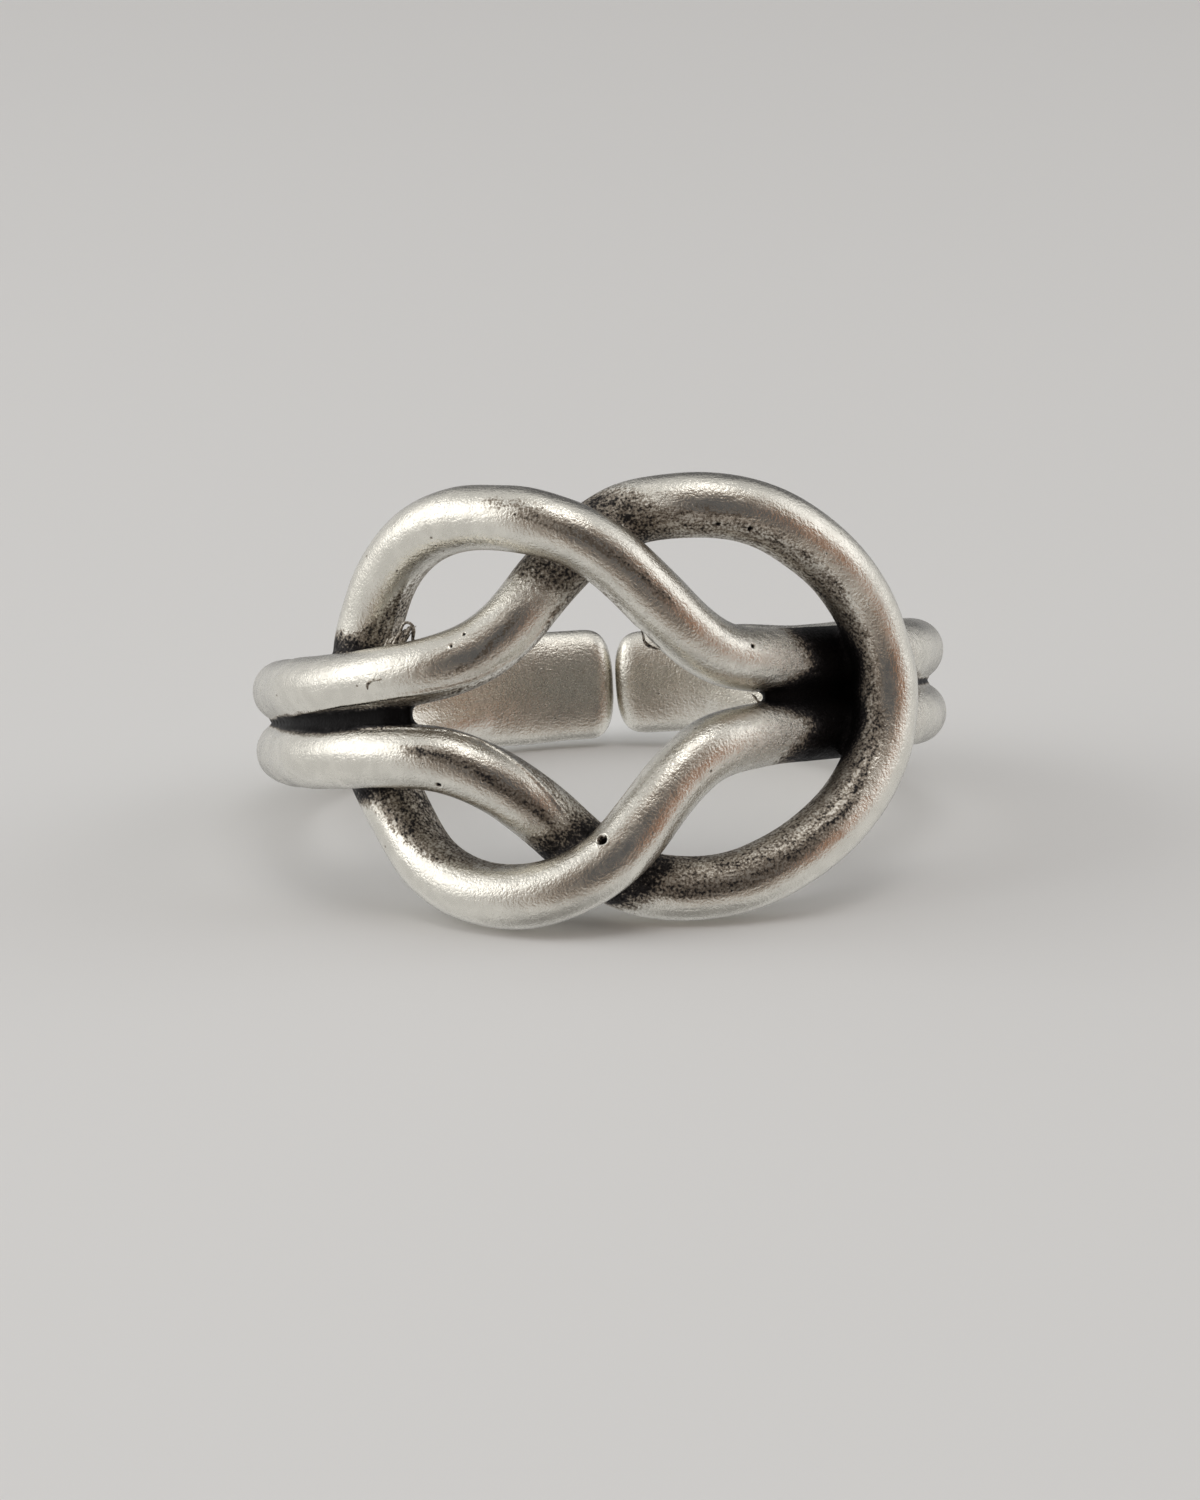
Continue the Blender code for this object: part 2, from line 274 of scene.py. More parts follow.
TAB_PATINA = 0.12  # on the tabs' inner faces, inside their bright edges
TAB_SKIN = 0.15 * MM  # from a tab, over which the wires' oxide sets in
PATINA_DEPTH = (0.05 * MM, 0.3 * MM)  # behind the inner face, over which it fades out
PATINA_FROM_EDGE = (0.25 * MM, 0.7 * MM)  # from the upper and lower edge, over which it sets in
PATINA_FROM_END = (0.2 * MM, 0.6 * MM)  # from the tab's end, in the same way

# Oxide and painted shade in the black pocket under the right bight reach farther between the legs.
POCKET_SHADE_SPREAD = 1.1
POCKET_SHADE_START = (17.5, 19.0)  # mm along a leg, over which the spread sets in
POCKET_SHADE_ANGLES = (10.0, 60.0)  # degrees round it, from facing out to facing the other leg

# Stains along the wires. Columns: wire; reach to either side, in mm; strength; then rows of
# along, in mm, and around, in degrees.
STAINS = (
    (0, 0.26, 0.55, ((-14.8, -8.0), (-13.3, -9.0), (-12.2, -5.5), (-10.6, -7.0), (-9.2, -12.0))),
    (0, 0.42, 0.30, ((-10.8, -24.0), (-10.2, -28.0), (-9.3, -27.0), (-8.2, -24.0))),
    (1, 0.42, 0.66, (
        (0.2, 62.0), (1.2, 59.5), (3.35, 47.5), (4.6, 31.0), (5.5, 26.0), (6.5, 16.5),
        (7.7, 8.0), (8.7, 0.5), (9.8, -3.0), (10.9, -8.0), (12.2, -5.0),
    )),
    (1, 0.30, 0.80, ((13.9, 8.0), (15.3, 10.5), (16.5, 10.0), (17.6, 17.0), (19.2, 15.0))),
    (1, 0.20, 0.40, ((-18.6, 30.0), (-17.5, 21.0), (-16.5, 10.5), (-15.2, 6.0))),
)

# Grit of the casting. Columns: along, in mm; reach, in mm from the other wire; strength.
LEFT_GRIT = (
    (-19.0, 3.4, 1.0),
    (-11.5, 0.6, 0.3),
    (-0.2, 1.0, 0.5),
    (11.9, 0.6, 0.4),
    (19.4, 3.6, 1.2),
)
RIGHT_GRIT = (
    (-22.9, 0.8, 0.4),
    (-13.0, 2.2, 1.0),
    (-1.0, 0.8, 0.3),
    (13.0, 1.6, 0.8),
    (22.3, 0.8, 0.4),
)

# Fineness of the surfaces
WIRE_STEP = 0.2 * MM  # between the rings of a wire
WIRE_SIDES = 32
BAR_STEPS = 60  # rings of a tab before it is cast in
WEB_STEPS = 120  # rings of a web before it is cast in
TAB_STOP = 0.97  # share of a tab's length where its first outline stops, to keep the gap open
TAB_POWER = 2.25  # of the tabs' section: 2 is an ellipse, and a high one a bar
CLOSING_POWER = 3.0  # of the tabs' ends, in the same way
WEB_POWER = 6.0
ROUND = 2.0  # power of a round section
PULLS = 4  # times that the skin is drawn onto the form
PROBE = 0.004 * MM  # step over which a slope is measured
TINY = 1e-6

# Oxide in the grooves between two legs, by the gap to the farther leg
# Past about 0.95 the shader darkens this further, as painted shade deep in the groove
GROOVE_OXIDE = 2.0
GROOVE_REACH = (0.25 * MM, 0.75 * MM)
GROOVE_START = (-0.5 * MM, 0.4 * MM)  # from the web's edge, over which the oxide sets in
GROOVE_END = (-8.0 * MM, -1.5 * MM)  # from the tab's start, over which it fades out
WEB_REACH = 0.12 * MM  # from the web's faces
SEAM_NARROWING = 0.65  # share by which both reaches shrink where the legs have closed up

# Parting ridges on the wires: wire, then rows of along, in mm, and around, in degrees
RIDGES = (
    (1, (
        (-24.9, 56.0), (-21.4, 39.0), (-19.4, 40.0), (-18.4, 47.5),
        (-17.5, 57.0), (-16.4, 70.0), (-15.2, 67.0), (-14.2, 66.0),
    )),
    (0, ((-5.0, 66.0), (-3.6, 76.0), (-1.9, 89.0), (-0.6, 98.0))),
    (1, ((13.6, 24.0), (14.1, 33.0), (15.7, 59.0), (17.2, 83.0), (18.8, 65.0), (21.0, 62.0))),
)
RIDGE_HEIGHT = 0.045 * MM
RIDGE_WIDTH = 0.07 * MM
RIDGE_FADE = 0.8  # mm over which a ridge rises at its ends

# Holes of the casting. Columns: wire; along, in mm; around, in degrees; radii at the foot and
# at the brim of the wall, depth and height of the brim, in mm.
HOLES = (
    (0, 12.61, 40.7, 0.10, 0.17, 0.30, 0.02),
    (0, -17.44, -21.8, 0.02, 0.09, 0.07, 0.005),
    (0, -14.65, 101.0, 0.10, 0.34, 0.05, 0.0),
    (1, -7.56, 40.2, 0.03, 0.10, 0.08, 0.005),
    (1, -8.55, 38.0, 0.02, 0.09, 0.07, 0.005),
    (1, -17.83, -21.6, 0.015, 0.07, 0.06, 0.005),
    (1, -17.33, -32.3, 0.015, 0.07, 0.06, 0.005),
    (1, 17.81, -39.5, 0.02, 0.10, 0.08, 0.01),
)
# Black oxide in the holes, with painted shade for their depth
HOLE_OXIDE_AND_SHADE = 1.7

# The skin is finer within this reach of a ridge, or past the brim of a hole
FINE_REACH = 0.24 * MM
FINE_RIM = 0.16 * MM
FINE_CUTS = 2

# The crumpled flash in a corner of the casting: a leaning coil that widens along its run and
# ends in a loop. Places are right, back and up, in mm.
FLASH_START = (-6.25, -9.40, 2.19)
FLASH_RUN = (0.78, 0.0, 0.22)
FLASH_TURNS = 9
FLASH_GIRTH = (0.12, 0.36)  # the coil's radius at its start and end
FLASH_LEAN = (0.5, 0.0, 0.87)
FLASH_DEPTH = (0.0, 0.7, 0.0)
FLASH_STEPS = 230
FLASH_SHAKE = 0.025  # mm by which its turns wander
FLASH_WANDER = (0.5, 1.5)  # range of the waves' pace, in waves for each turn
FLASH_LOOP = (
    (-5.77, -9.45, 2.42),
    (-5.69, -9.49, 2.68),
    (-5.55, -9.51, 2.81),
    (-5.41, -9.51, 2.76),
    (-5.35, -9.50, 2.53),
    (-5.38, -9.52, 2.28),
    (-5.33, -9.56, 2.03),
)
COIL_RADIUS = 0.06 * MM
LOOP_RADIUS = 0.055 * MM

# A thin burr at the right web's edge
WEB_BURR = (
    (4.46, -8.74, 0.12),
    (4.58, -8.74, -0.02),
    (4.70, -8.72, -0.15),
    (4.88, -8.66, -0.09),
    (5.04, -8.56, -0.03),
)
BURR_RADIUS = 0.045 * MM

# Curls of metal on a leg and at the upper crossing: wire, then rows of along, in mm, around,
# in degrees, and lift off the wire, in mm
CURLS = (
    (
        1,
        (
            (-20.22, 17.0, 0.0),
            (-20.19, 9.0, 0.0),
            (-20.08, 4.0, 0.0),
            (-19.91, 2.5, 0.0),
            (-19.74, 3.8, 0.0),
        ),
    ),
    (
        0,
        (
            (-14.50, 90.0, -0.03),
            (-14.72, 96.0, 0.06),
            (-14.88, 99.0, 0.14),
            (-15.08, 97.0, 0.12),
            (-15.30, 90.0, 0.0),
        ),
    ),
)
THREAD_STEPS = 48
THREAD_SIDES = 12
THREAD_SWELLS = ((7.0, 0.19), (19.0, 0.11))  # waves of a thread's radius: pace and share of it
THREAD_TIP = 0.05  # least fullness at a thread's ends
THREAD_ASIDE = (0.31, -0.9, 0.3)  # a direction that no thread runs in
FLASH_SEED = 3
FLASH_OXIDE = 0.5

WIRE_OFFSET = 100 * MM  # between the middles of the two straightened wires
BREAK = 4.0  # times that an edge grows where the straightened wires part

# Waves that stand for the hand-finished surface
DENT_SEED = 7
DENT_WAVES = 48
DENT_SHORTEST = 1.6 * MM
DENT_LONGEST = 5.0 * MM

# Noises of the finish: size of the lumps, detail and, where it isn't a half, roughness
SPECKS = (0.08 * MM, 2.0, 0.6)
STREAKS = (0.16 * MM, 3.0, 0.6)
PATCHES = (0.7 * MM, 2.0)
CLOUDS = (0.5 * MM, 3.0)
LUMPS = (0.18 * MM, 4.0, 0.7)
RIPPLES = (0.4 * MM, 3.0, 0.55)
STREAK_STRETCH = (0.3, 1.0, 1.0)  # on straightened places, so that streaks run along the wire
PIT_SPACING = 0.75 * MM
PIT_RADIUS = 0.05 * MM
PIT_FLOOR = 0.5  # share of a pit's radius within which it is at its deepest

# How the finish follows the amount of oxide. A span is two values between which a share
# rises from 0 to 1, or from a third value to a fourth.
SCATTER_WEIGHTS = (2.1, 1.2, 0.5)  # of specks, streaks and patches
SCATTER_SPAN = (0.05, 0.3, 0.28, 1.0)  # of the charted oxide, and of the scatter's strength
PIT_OXIDE = 0.55
BLACK_SPAN = (0.5, 0.95)
# Amount of oxide over which its colour darkens further: painted shade in the deepest recesses
DEEP_SHADE_SPAN = (0.95, 1.6)
BROWN_SPAN = (0.12, 0.5)
DULL_SPAN = (0.2, 0.8)
FILM_SPAN = (0.3, 0.55)  # of the charted oxide, where a thin film covers the metal
FILM_BROWN = 0.4  # least share of tarnish under the film
FILM_DULL = 0.22  # least roughness that the film adds
CLOUD_SPAN = (0.35, 0.65, 0.0, 0.4)  # of the clouds' noise, and of the darker silver's share
WORN_SHARE = 0.78  # of the silver's colour, in its darker clouds
# Painted shade: the oxide's colour falls to this share in the deepest recesses
DEEP_SHADE_SHARE = 0.3  # of the oxide's colour, where it is deepest
SATIN_WEIGHTS = (0.25, 0.3, 0.2)  # of specks, streaks and patches, in roughness

# Relief, in mm
LUMP_HEIGHT = 0.11
PIT_DEPTH = 0.03
FINE_HEIGHTS = (0.018, 0.012, 0.015)  # of specks, streaks and ripples

# The floor: a disc, with a soft change of tone across it
FLOOR_RADIUS = 1.5
FLOOR_SIDES = 96
FLOOR_DROP = 0.005 * MM
FLOOR_CLOUDS = (40 * MM, 2.0)  # size and detail of the noise
FLOOR_TONES = (0.3, 0.7, 0.0, 0.04)  # span of the noise, and of the darker tone's share
FLOOR_DARKER = 0.9  # share of the floor's colour in its darker tone
FLOOR_ROUGHNESS = 0.75
FLOOR_SPECULAR = 0.2

# Soft boxes: rise and turn of the middle, in degrees, width and height
BOX_DISTANCE = 0.32  # from the ring
LEFT_BOX = (26.0, -90.0, 0.30, 0.23)
TOP_BOX = (75.0, 25.0, 0.13, 0.13)

# Patches of the dome: rise and turn of the middle, inner and outer radius, in degrees
RIGHT_PATCH = (25.0, 94.0, 12.0, 28.0)
BACK_PATCH = (25.0, 170.0, 8.0, 40.0)
BEHIND_PATCH = (-24.0, 178.0, 4.0, 30.0)
BELOW_PATCH = (-90.0, 0.0, 4.0, 38.0)
EDGE_PATCH = (14.0, 9.0, 38.0, 68.0)
GLOW_PATCH = (4.0, 58.0, 4.0, 26.0)
WALL_PATCH = (13.0, 9.0, 18.0, 47.0)

# The camera
PHOTO_FOCUS = 5984.75  # pixels of the 1200 x 1500 frame for each unit of distance over size
PHOTO_HEIGHT = 1500.0
SENSOR_HEIGHT = 24.0
CLIP_START, CLIP_END = 0.01, 10.0
FRAME_DROP = 1.53 * MM  # of the frame's middle below the ring's own


def measure(name, description, size, least=0.0):
    """A length that the user may set, with its default and least value in mm."""
    return FloatProperty(
        name=name, description=description, default=size * MM, min=least * MM,
        precision=5, subtype="DISTANCE", unit="LENGTH",
    )


def tint(name, description, channels, most=1.0):
    """A colour that the user may set."""
    return FloatVectorProperty(
        name=name, description=description, default=channels, min=0.0, max=most,
        subtype="COLOR",
    )


class KnotRingSizes(PropertyGroup):
    """The ring's sizes."""

    finger_diameter: measure("Finger Diameter", "Inside the shank", 17.5)
    wire_diameter: measure("Wire Diameter", "Of both bights", 1.9)
    crossing_sink: measure("Crossing Sink", "How deep one wire is cast into the other", 0.3)
    knot_height: measure("Knot Height", "Over both bights, along the finger", 13.1)
    knot_reach: measure(
        "Knot Reach", "From the knot's middle to a far turn, round the finger", 7.95
    )
    leg_groove: measure("Leg Groove", "Between the two wires of the shank", 0.17)
    web_thickness: measure("Web Thickness", "Of the metal between two legs", 0.8)
    web_start: measure("Web Start", "From the knot's middle, round the finger", 4.9)
    tab_length: measure("Tab Length", "From where a tab begins to the middle of the back", 6.9)
    tab_thickness: measure("Tab Thickness", "Of both tabs", 1.45)
    left_tab_height: measure("Left Tab Height", "Along the finger", 3.55)
    right_tab_height: measure("Right Tab Height", "Along the finger", 3.3)
    left_tab_lift: measure(
        "Left Tab Lift", "Of the tab's middle above the legs' own", 0.34, least=-10.0
    )
    right_tab_lift: measure(
        "Right Tab Lift", "Of the tab's middle above the legs' own", 0.33, least=-10.0
    )
    tab_closing: measure(
        "Tab Closing", "Length over which a tab rounds off to its end", 1.0, least=0.05
    )
    end_gap: measure("End Gap", "Between the two tabs", 0.12)
    end_shift: measure(
        "End Shift", "Of the gap, from the middle of the back to the right", 0.5, least=-10.0
    )
    crossing_fillet: measure("Crossing Fillet", "Reach of the fillet where wires cross", 0.28)
    web_fillet: measure("Web Fillet", "Reach of the fillet between a web and its legs", 0.14)
    tab_fillet: measure("Tab Fillet", "Reach of the fillet where legs run into a tab", 0.35)
    dent_depth: measure("Dent Depth", "Of the soft unevenness of the casting", 0.011)
    skin_grain: measure("Skin Grain", "Spacing of the skin's points", 0.14, least=0.05)


class KnotRingFinish(PropertyGroup):
    """The plating's colours and gloss."""

    silver: tint("Silver", "Rubbed silver on the high places", (0.74, 0.71, 0.635))
    patina: tint("Patina", "Thin brown tarnish at the edge of the oxide", (0.31, 0.27, 0.22))
    oxide: tint("Oxide", "Black oxide in the recesses", (0.045, 0.042, 0.042))
    gloss: FloatProperty(
        name="Roughness", description="Of the rubbed silver",
        default=0.27, min=0.0, max=1.0, subtype="FACTOR",
    )
    dullness: FloatProperty(
        name="Oxide Roughness", description="Of the black oxide",
        default=0.62, min=0.0, max=1.0, subtype="FACTOR",
    )


class KnotRingStage(PropertyGroup):
    """The floor, the light and the camera."""

    floor: tint("Floor", "Plain pale floor", (0.78, 0.775, 0.76))
    dome: tint("Dome", "Light from all round", (0.73, 0.73, 0.73))
    fill: tint("Fill", "Brighter light from the right", (1.5, 1.5, 1.52), most=4.0)
    shade: tint("Shade", "Dark walls behind the camera and behind the ring", (0.12, 0.12, 0.125))
    below: tint("Below", "Shaded light from under the ring", (0.28, 0.275, 0.27))
    edge: tint("Edge", "Brown edge of the wall behind the camera", (0.31, 0.235, 0.18))
    warmth: tint("Warmth", "Warm glow at the right of that wall", (0.37, 0.20, 0.125))
    left_power: FloatProperty(
        name="Left Box", description="Power of the soft box at the left",
        default=0.27, min=0.0, unit="POWER",
    )
    top_power: FloatProperty(
        name="Top Box", description="Power of the soft box overhead",
        default=0.11, min=0.0, unit="POWER",
    )
    distance: measure("Camera Distance", "From the ring's middle", 185)
    rise: FloatProperty(
        name="Camera Rise", description="Of the line of sight above the floor",
        default=math.radians(15.12), subtype="ANGLE",
    )
    turn: FloatProperty(
        name="Camera Turn", description="To the right of the front",
        default=math.radians(-0.27), subtype="ANGLE",
    )
    roll: FloatProperty(
        name="Camera Roll", description="Anticlockwise, as the camera's holder sees it",
        default=math.radians(-1.46), subtype="ANGLE",
    )


def worked_out(sizes):
    """The sizes that follow from the chosen ones."""
    inner = sizes.finger_diameter / 2
    layer = inner + sizes.wire_diameter / 2
    return SimpleNamespace(
        wire_radius=sizes.wire_diameter / 2,
        inner_layer=layer,
        layer_step=sizes.wire_diameter - sizes.crossing_sink,
        knot_half=(sizes.knot_height - sizes.wire_diameter) / 2,
        leg_half=(sizes.wire_diameter + sizes.leg_groove) / 2,
        reach_angle=sizes.knot_reach / layer,
        web_angle=sizes.web_start / layer,
        web_half=sizes.web_thickness / 2,
        tab_angle=sizes.tab_length / layer,
        tab_middle=inner + sizes.tab_thickness / 2,
        tab_thickness=sizes.tab_thickness,
        tab_closing=sizes.tab_closing,
        tab_heights={LEFT: sizes.left_tab_height, RIGHT: sizes.right_tab_height},
        tab_lifts={LEFT: sizes.left_tab_lift, RIGHT: sizes.right_tab_lift},
        end_gap=sizes.end_gap,
        end_shift=sizes.end_shift,
    )


def on_finger(angle, radius, height):
    """Places at angles from the front, radii from the finger's axis and heights."""
    return np.stack([radius * np.sin(angle), -radius * np.cos(angle), height], axis=-1)


def unit(vectors):
    return vectors / np.linalg.norm(vectors, axis=-1, keepdims=True)


def dot(first, second):
    return np.einsum("...i,...i->...", first, second)


def eased(value, low, high):
    """Rises smoothly from 0 at low to 1 at high: 3 t squared less 2 t cubed."""
    share = np.clip((value - low) / (high - low), 0.0, 1.0)
    return share * share * (3.0 - 2.0 * share)


def smooth_curve(knots, values, at):
    """Natural cubic spline through values at knots, read at the places in at."""
    step = np.diff(knots)
    count = len(knots)
    system = np.eye(count)
    inner = np.arange(1, count - 1)
    system[inner, inner - 1] = step[:-1]
    system[inner, inner] = 2.0 * (step[:-1] + step[1:])
    system[inner, inner + 1] = step[1:]
    slopes = np.diff(values, axis=0) / step[:, None]
    right = np.zeros_like(values)
    right[1:-1] = 6.0 * np.diff(slopes, axis=0)
    bend = np.linalg.solve(system, right)
    k = np.clip(np.searchsorted(knots, at, side="right") - 1, 0, count - 2)
    span = step[k][:, None]
    ahead = (knots[k + 1] - at)[:, None]
    behind = (at - knots[k])[:, None]
    cubic = (bend[k] * ahead**3 + bend[k + 1] * behind**3) / (6.0 * span)
    near = (values[k] / span - bend[k] * span / 6.0) * ahead
    far = (values[k + 1] / span - bend[k + 1] * span / 6.0) * behind
    return cubic + near + far


def tab_start(side, size):
    return side * (math.pi - size.tab_angle)


def tab_end(side, size):
    """Angle of a tab's end face, half the gap short of the gap's shifted middle."""
    return side * (math.pi - (side * size.end_shift + size.end_gap / 2) / size.tab_middle)


def leg_rows(side, legs, level, size):
    """Rows of one leg beyond the knot: angle, height, radius and wire radius."""
    start = tab_start(side, size)
    reach = size.reach_angle
    height = level * size.leg_half
    rows = [
        (
            side * share * reach + past * (start - side * reach),
            height,
            size.inner_layer + out * size.layer_step,
            size.wire_radius,
        )
        for share, past, out in legs
    ]
    last = rows[-1][0]
    sinking = start + LEG_END[0][0] * side * size.tab_angle
    rows += [
        (last + share * (sinking - last), height, size.inner_layer, size.wire_radius)
        for share in PLAIN_LEG
    ]
    end_height = level * LEG_END_HEIGHT * size.tab_heights[side] + size.tab_lifts[side]
    end_girth = LEG_END_GIRTH * size.tab_thickness / 2
    rows += [
        (
            start + along * side * size.tab_angle,
            height + sunk * (end_height - height),
            size.inner_layer + sunk * (size.tab_middle - size.inner_layer),
            size.wire_radius + sunk * (end_girth - size.wire_radius),
        )
        for along, sunk in LEG_END
    ]
    return rows


def wire_path(side, bight, legs, size):
    """A bight's whole centreline with its directions.

    The rows of angle, height, radius and girth follow a cubic spline by chord length. outward
    points away from the finger, square to the wire, and inward into the bight. along is the
    length from the turn's middle, plus towards the lower leg.
    """
    knot = [
        (
            share * size.reach_angle,
            up * size.knot_half,
            size.inner_layer + out * size.layer_step,
            size.wire_radius,
        )
        for share, up, out in bight
    ]
    upper = leg_rows(side, legs, 1.0, size)
    lower = leg_rows(side, legs, -1.0, size)
    rows = np.array(upper[::-1] + knot + lower)
    knots = on_finger(rows[:, 0], rows[:, 2], rows[:, 1])
    length = np.concatenate([[0.0], np.cumsum(np.linalg.norm(np.diff(knots, axis=0), axis=1))])
    count = int(length[-1] / WIRE_STEP) + 1
    angle, height, radius, girth = smooth_curve(length, rows, np.linspace(0.0, length[-1], count)).T
    turn = np.argmin(side * angle)
    closed = eased(side * angle, *LEG_CLOSING) * (1.0 - eased(side * angle, *LEG_PARTING))
    height = height + MM * closed * np.where(np.arange(count) < turn, *LEG_SHIFTS[side])
    points = on_finger(angle, radius, height)
    tangent = unit(np.gradient(points, axis=0))
    radial = on_finger(angle, np.ones_like(angle), np.zeros_like(angle))
    outward = unit(radial - dot(radial, tangent)[:, None] * tangent)
    inward = -side * np.cross(tangent, outward)
    steps = np.linalg.norm(np.diff(points, axis=0), axis=1)
    along = np.concatenate([[0.0], np.cumsum(steps)])
    return SimpleNamespace(
        side=side, points=points, girth=girth, angle=angle, height=height, radius=radius,
        outward=outward, inward=inward, along=along - along[turn], turn=turn,
    )


def carried(points, first, second, first_half, second_half, power, sides):
    """Closed skin of a profile carried along a path: places and four-sided faces.

    Round the path the profile is first * first_half * c + second * second_half * s, where c
    and s are the cosine and sine of the turn, each raised to 2 / power with its sign kept: a
    power of 2 gives an ellipse, a higher one a bar with rounded edges. Each end closes on a
    point at the path's own end.
    """
    turn = np.linspace(0.0, 2.0 * math.pi, sides, endpoint=False)
    wave = np.stack([np.cos(turn), np.sin(turn)])
    across, up = np.sign(wave) * np.abs(wave) ** (2.0 / power)
    rings = (
        points[:, None]
        + (first * first_half[:, None])[:, None] * across[None, :, None]
        + (second * second_half[:, None])[:, None] * up[None, :, None]
    )
    count = len(points)
    places = np.concatenate([rings.reshape(-1, 3), points[:1], points[-1:]])
    ring, spot = np.meshgrid(np.arange(count - 1), np.arange(sides), indexing="ij")
    here = ring * sides + spot
    beside = ring * sides + (spot + 1) % sides
    walls = np.stack([here, beside, beside + sides, here + sides], axis=-1).reshape(-1, 4)
    rim = np.arange(sides)
    rim_next = (rim + 1) % sides
    last = (count - 1) * sides
    tail = np.full(sides, count * sides)
    front = np.stack([rim_next, rim, tail, tail], axis=-1)
    back = np.stack([last + rim, last + rim_next, tail + 1, tail + 1], axis=-1)
    return places, walls, np.concatenate([front[:, :3], back[:, :3]])


def wire_skin(wire):
    return carried(wire.points, wire.outward, wire.inward, wire.girth, wire.girth, ROUND, WIRE_SIDES)


def leg_table(wire):
    """Angle round the finger, height and radius of both legs of a wire, by rising angle."""
    upper = slice(0, wire.turn)
    lower = slice(wire.turn, None)
    tables = []
    for half in (upper, lower):
        angle = wire.side * wire.angle[half]
        order = np.argsort(angle)
        keep = order[angle[order] > 0.0]
        tables.append((angle[keep], wire.height[half][keep], wire.radius[half][keep]))
    return tables


def between_legs(wire, angle):
    """Heights and radii of a side's upper and lower leg at angles round the finger."""
    (up_angle, up_height, up_radius), (low_angle, low_height, low_radius) = leg_table(wire)
    return (
        np.interp(angle, up_angle, up_height),
        np.interp(angle, up_angle, up_radius),
        np.interp(angle, low_angle, low_height),
        np.interp(angle, low_angle, low_radius),
    )


def bar_skin(side, angle, radius, height, radial_half, height_half, power):
    """Skin of a bar that follows the finger, from its middle line and half sizes."""
    points = on_finger(side * angle, radius, height)
    outward = on_finger(side * angle, np.ones_like(angle), np.zeros_like(angle))
    upward = np.broadcast_to(np.array([0.0, 0.0, 1.0]), points.shape)
    return carried(points, outward, upward, radial_half, height_half, power, WIRE_SIDES)


def web_half_at(past_edge, size):
    """Half a web's thickness at lengths past its free edge."""
    return size.web_half * (WEB_LIP + (1.0 - WEB_LIP) * eased(past_edge, 0.0, WEB_TAPER))


def web_skin(wire, size):
    """The web's first outline, a flat bar half way between the two legs."""
    first = size.web_angle + WEB_HOLLOW / size.inner_layer
    angle = np.linspace(first, abs(tab_start(wire.side, size)), WEB_STEPS)
    top, top_radius, bottom, bottom_radius = between_legs(wire, angle)
    radius = (top_radius + bottom_radius) / 2
    half = web_half_at((angle - first) * radius, size)
    return bar_skin(
        wire.side, angle, radius, (top + bottom) / 2, half, (top - bottom) / 2, WEB_POWER
    )


def tab_sizes(side, angle, size):
    """Thickness, height and lift of a tab at angles round the finger."""
    table = np.array(TAB_SECTIONS)
    start = abs(tab_start(side, size))
    end = abs(tab_end(side, size))
    share = np.clip((angle - start) / (end - start), table[0, 0], table[-1, 0])
    high, thick, lifted = smooth_curve(table[:, 0], table[:, 1:], share).T
    return (
        thick * size.tab_thickness,
        high * size.tab_heights[side],
        lifted * size.tab_lifts[side],
    )


def tab_skin(side, size):
    """The tab's first outline, a bar with rounded edges that stops short of the tab's end."""
    start = abs(tab_start(side, size))
    end = abs(tab_end(side, size))
    angle = start + np.linspace(TAB_SECTIONS[0][0], TAB_STOP, BAR_STEPS) * (end - start)
    thick, high, lift = tab_sizes(side, angle, size)
    radius = np.full_like(angle, size.tab_middle)
    return bar_skin(side, angle, radius, lift, thick / 2, high / 2, TAB_POWER)


def nearest_sample(places, wire):
    """Number of the wire's sample nearest to each place."""
    line = (wire.points / MM).astype(np.float32)
    score = (line * line).sum(axis=1) - 2.0 * (places / MM).astype(np.float32) @ line.T
    return score.argmin(axis=1)


def nearest_foot(places, wire, near):
    """Foot of each place on the wire, as a sample with its fraction, and the distance to it.

    The foot lies on the stretch before or behind the nearest sample, whichever is closer.
    """
    best_gap = None
    for back in (-1, 0):
        first = np.clip(near + back, 0, len(wire.points) - 2)
        start = wire.points[first]
        run = wire.points[first + 1] - start
        share = np.clip(dot(places - start, run) / dot(run, run), 0.0, 1.0)
        gap = np.linalg.norm(places - start - share[:, None] * run, axis=1)
        if best_gap is None:
            best_gap, foot = gap, first + share
        else:
            closer = gap < best_gap
            best_gap = np.where(closer, gap, best_gap)
            foot = np.where(closer, first + share, foot)
    return foot, best_gap


def read_at(values, foot):
    """Values of a wire's samples at places between them."""
    first = np.minimum(foot.astype(int), len(values) - 2)
    share = foot - first
    if values.ndim > 1:
        share = share[:, None]
    return values[first] * (1.0 - share) + values[first + 1] * share


def to_wire(places, wire, near):
    foot, gap = nearest_foot(places, wire, near)
    return gap - read_at(wire.girth, foot)


def round_the_finger(places):
    """Angle from the front, radius from the finger's axis and height of each place."""
    return (
        np.arctan2(places[:, 0], -places[:, 1]),
        np.hypot(places[:, 0], places[:, 1]),
        places[:, 2],
    )


def to_web(places, wire, size):
    """Distance to a web: a slab between its two legs that thins towards its free edge.

    The free edge is hollow, deepest half way between the legs.
    """
    angle, radius, height = round_the_finger(places)
    angle = wire.side * angle
    top, top_radius, bottom, bottom_radius = between_legs(wire, angle)
    share = np.clip((height - bottom) / (top - bottom), 0.0, 1.0)
    middle = bottom_radius + share * (top_radius - bottom_radius)
    hollow = WEB_HOLLOW * (1.0 - (2.0 * share - 1.0) ** 2)
    past_edge = (angle - size.web_angle) * radius - hollow
    return np.max(
        [
            np.abs(radius - middle) - web_half_at(past_edge, size),
            height - top,
            bottom - height,
            -past_edge,
            (angle - abs(tab_start(wire.side, size))) * radius,
        ],
        axis=0,
    )


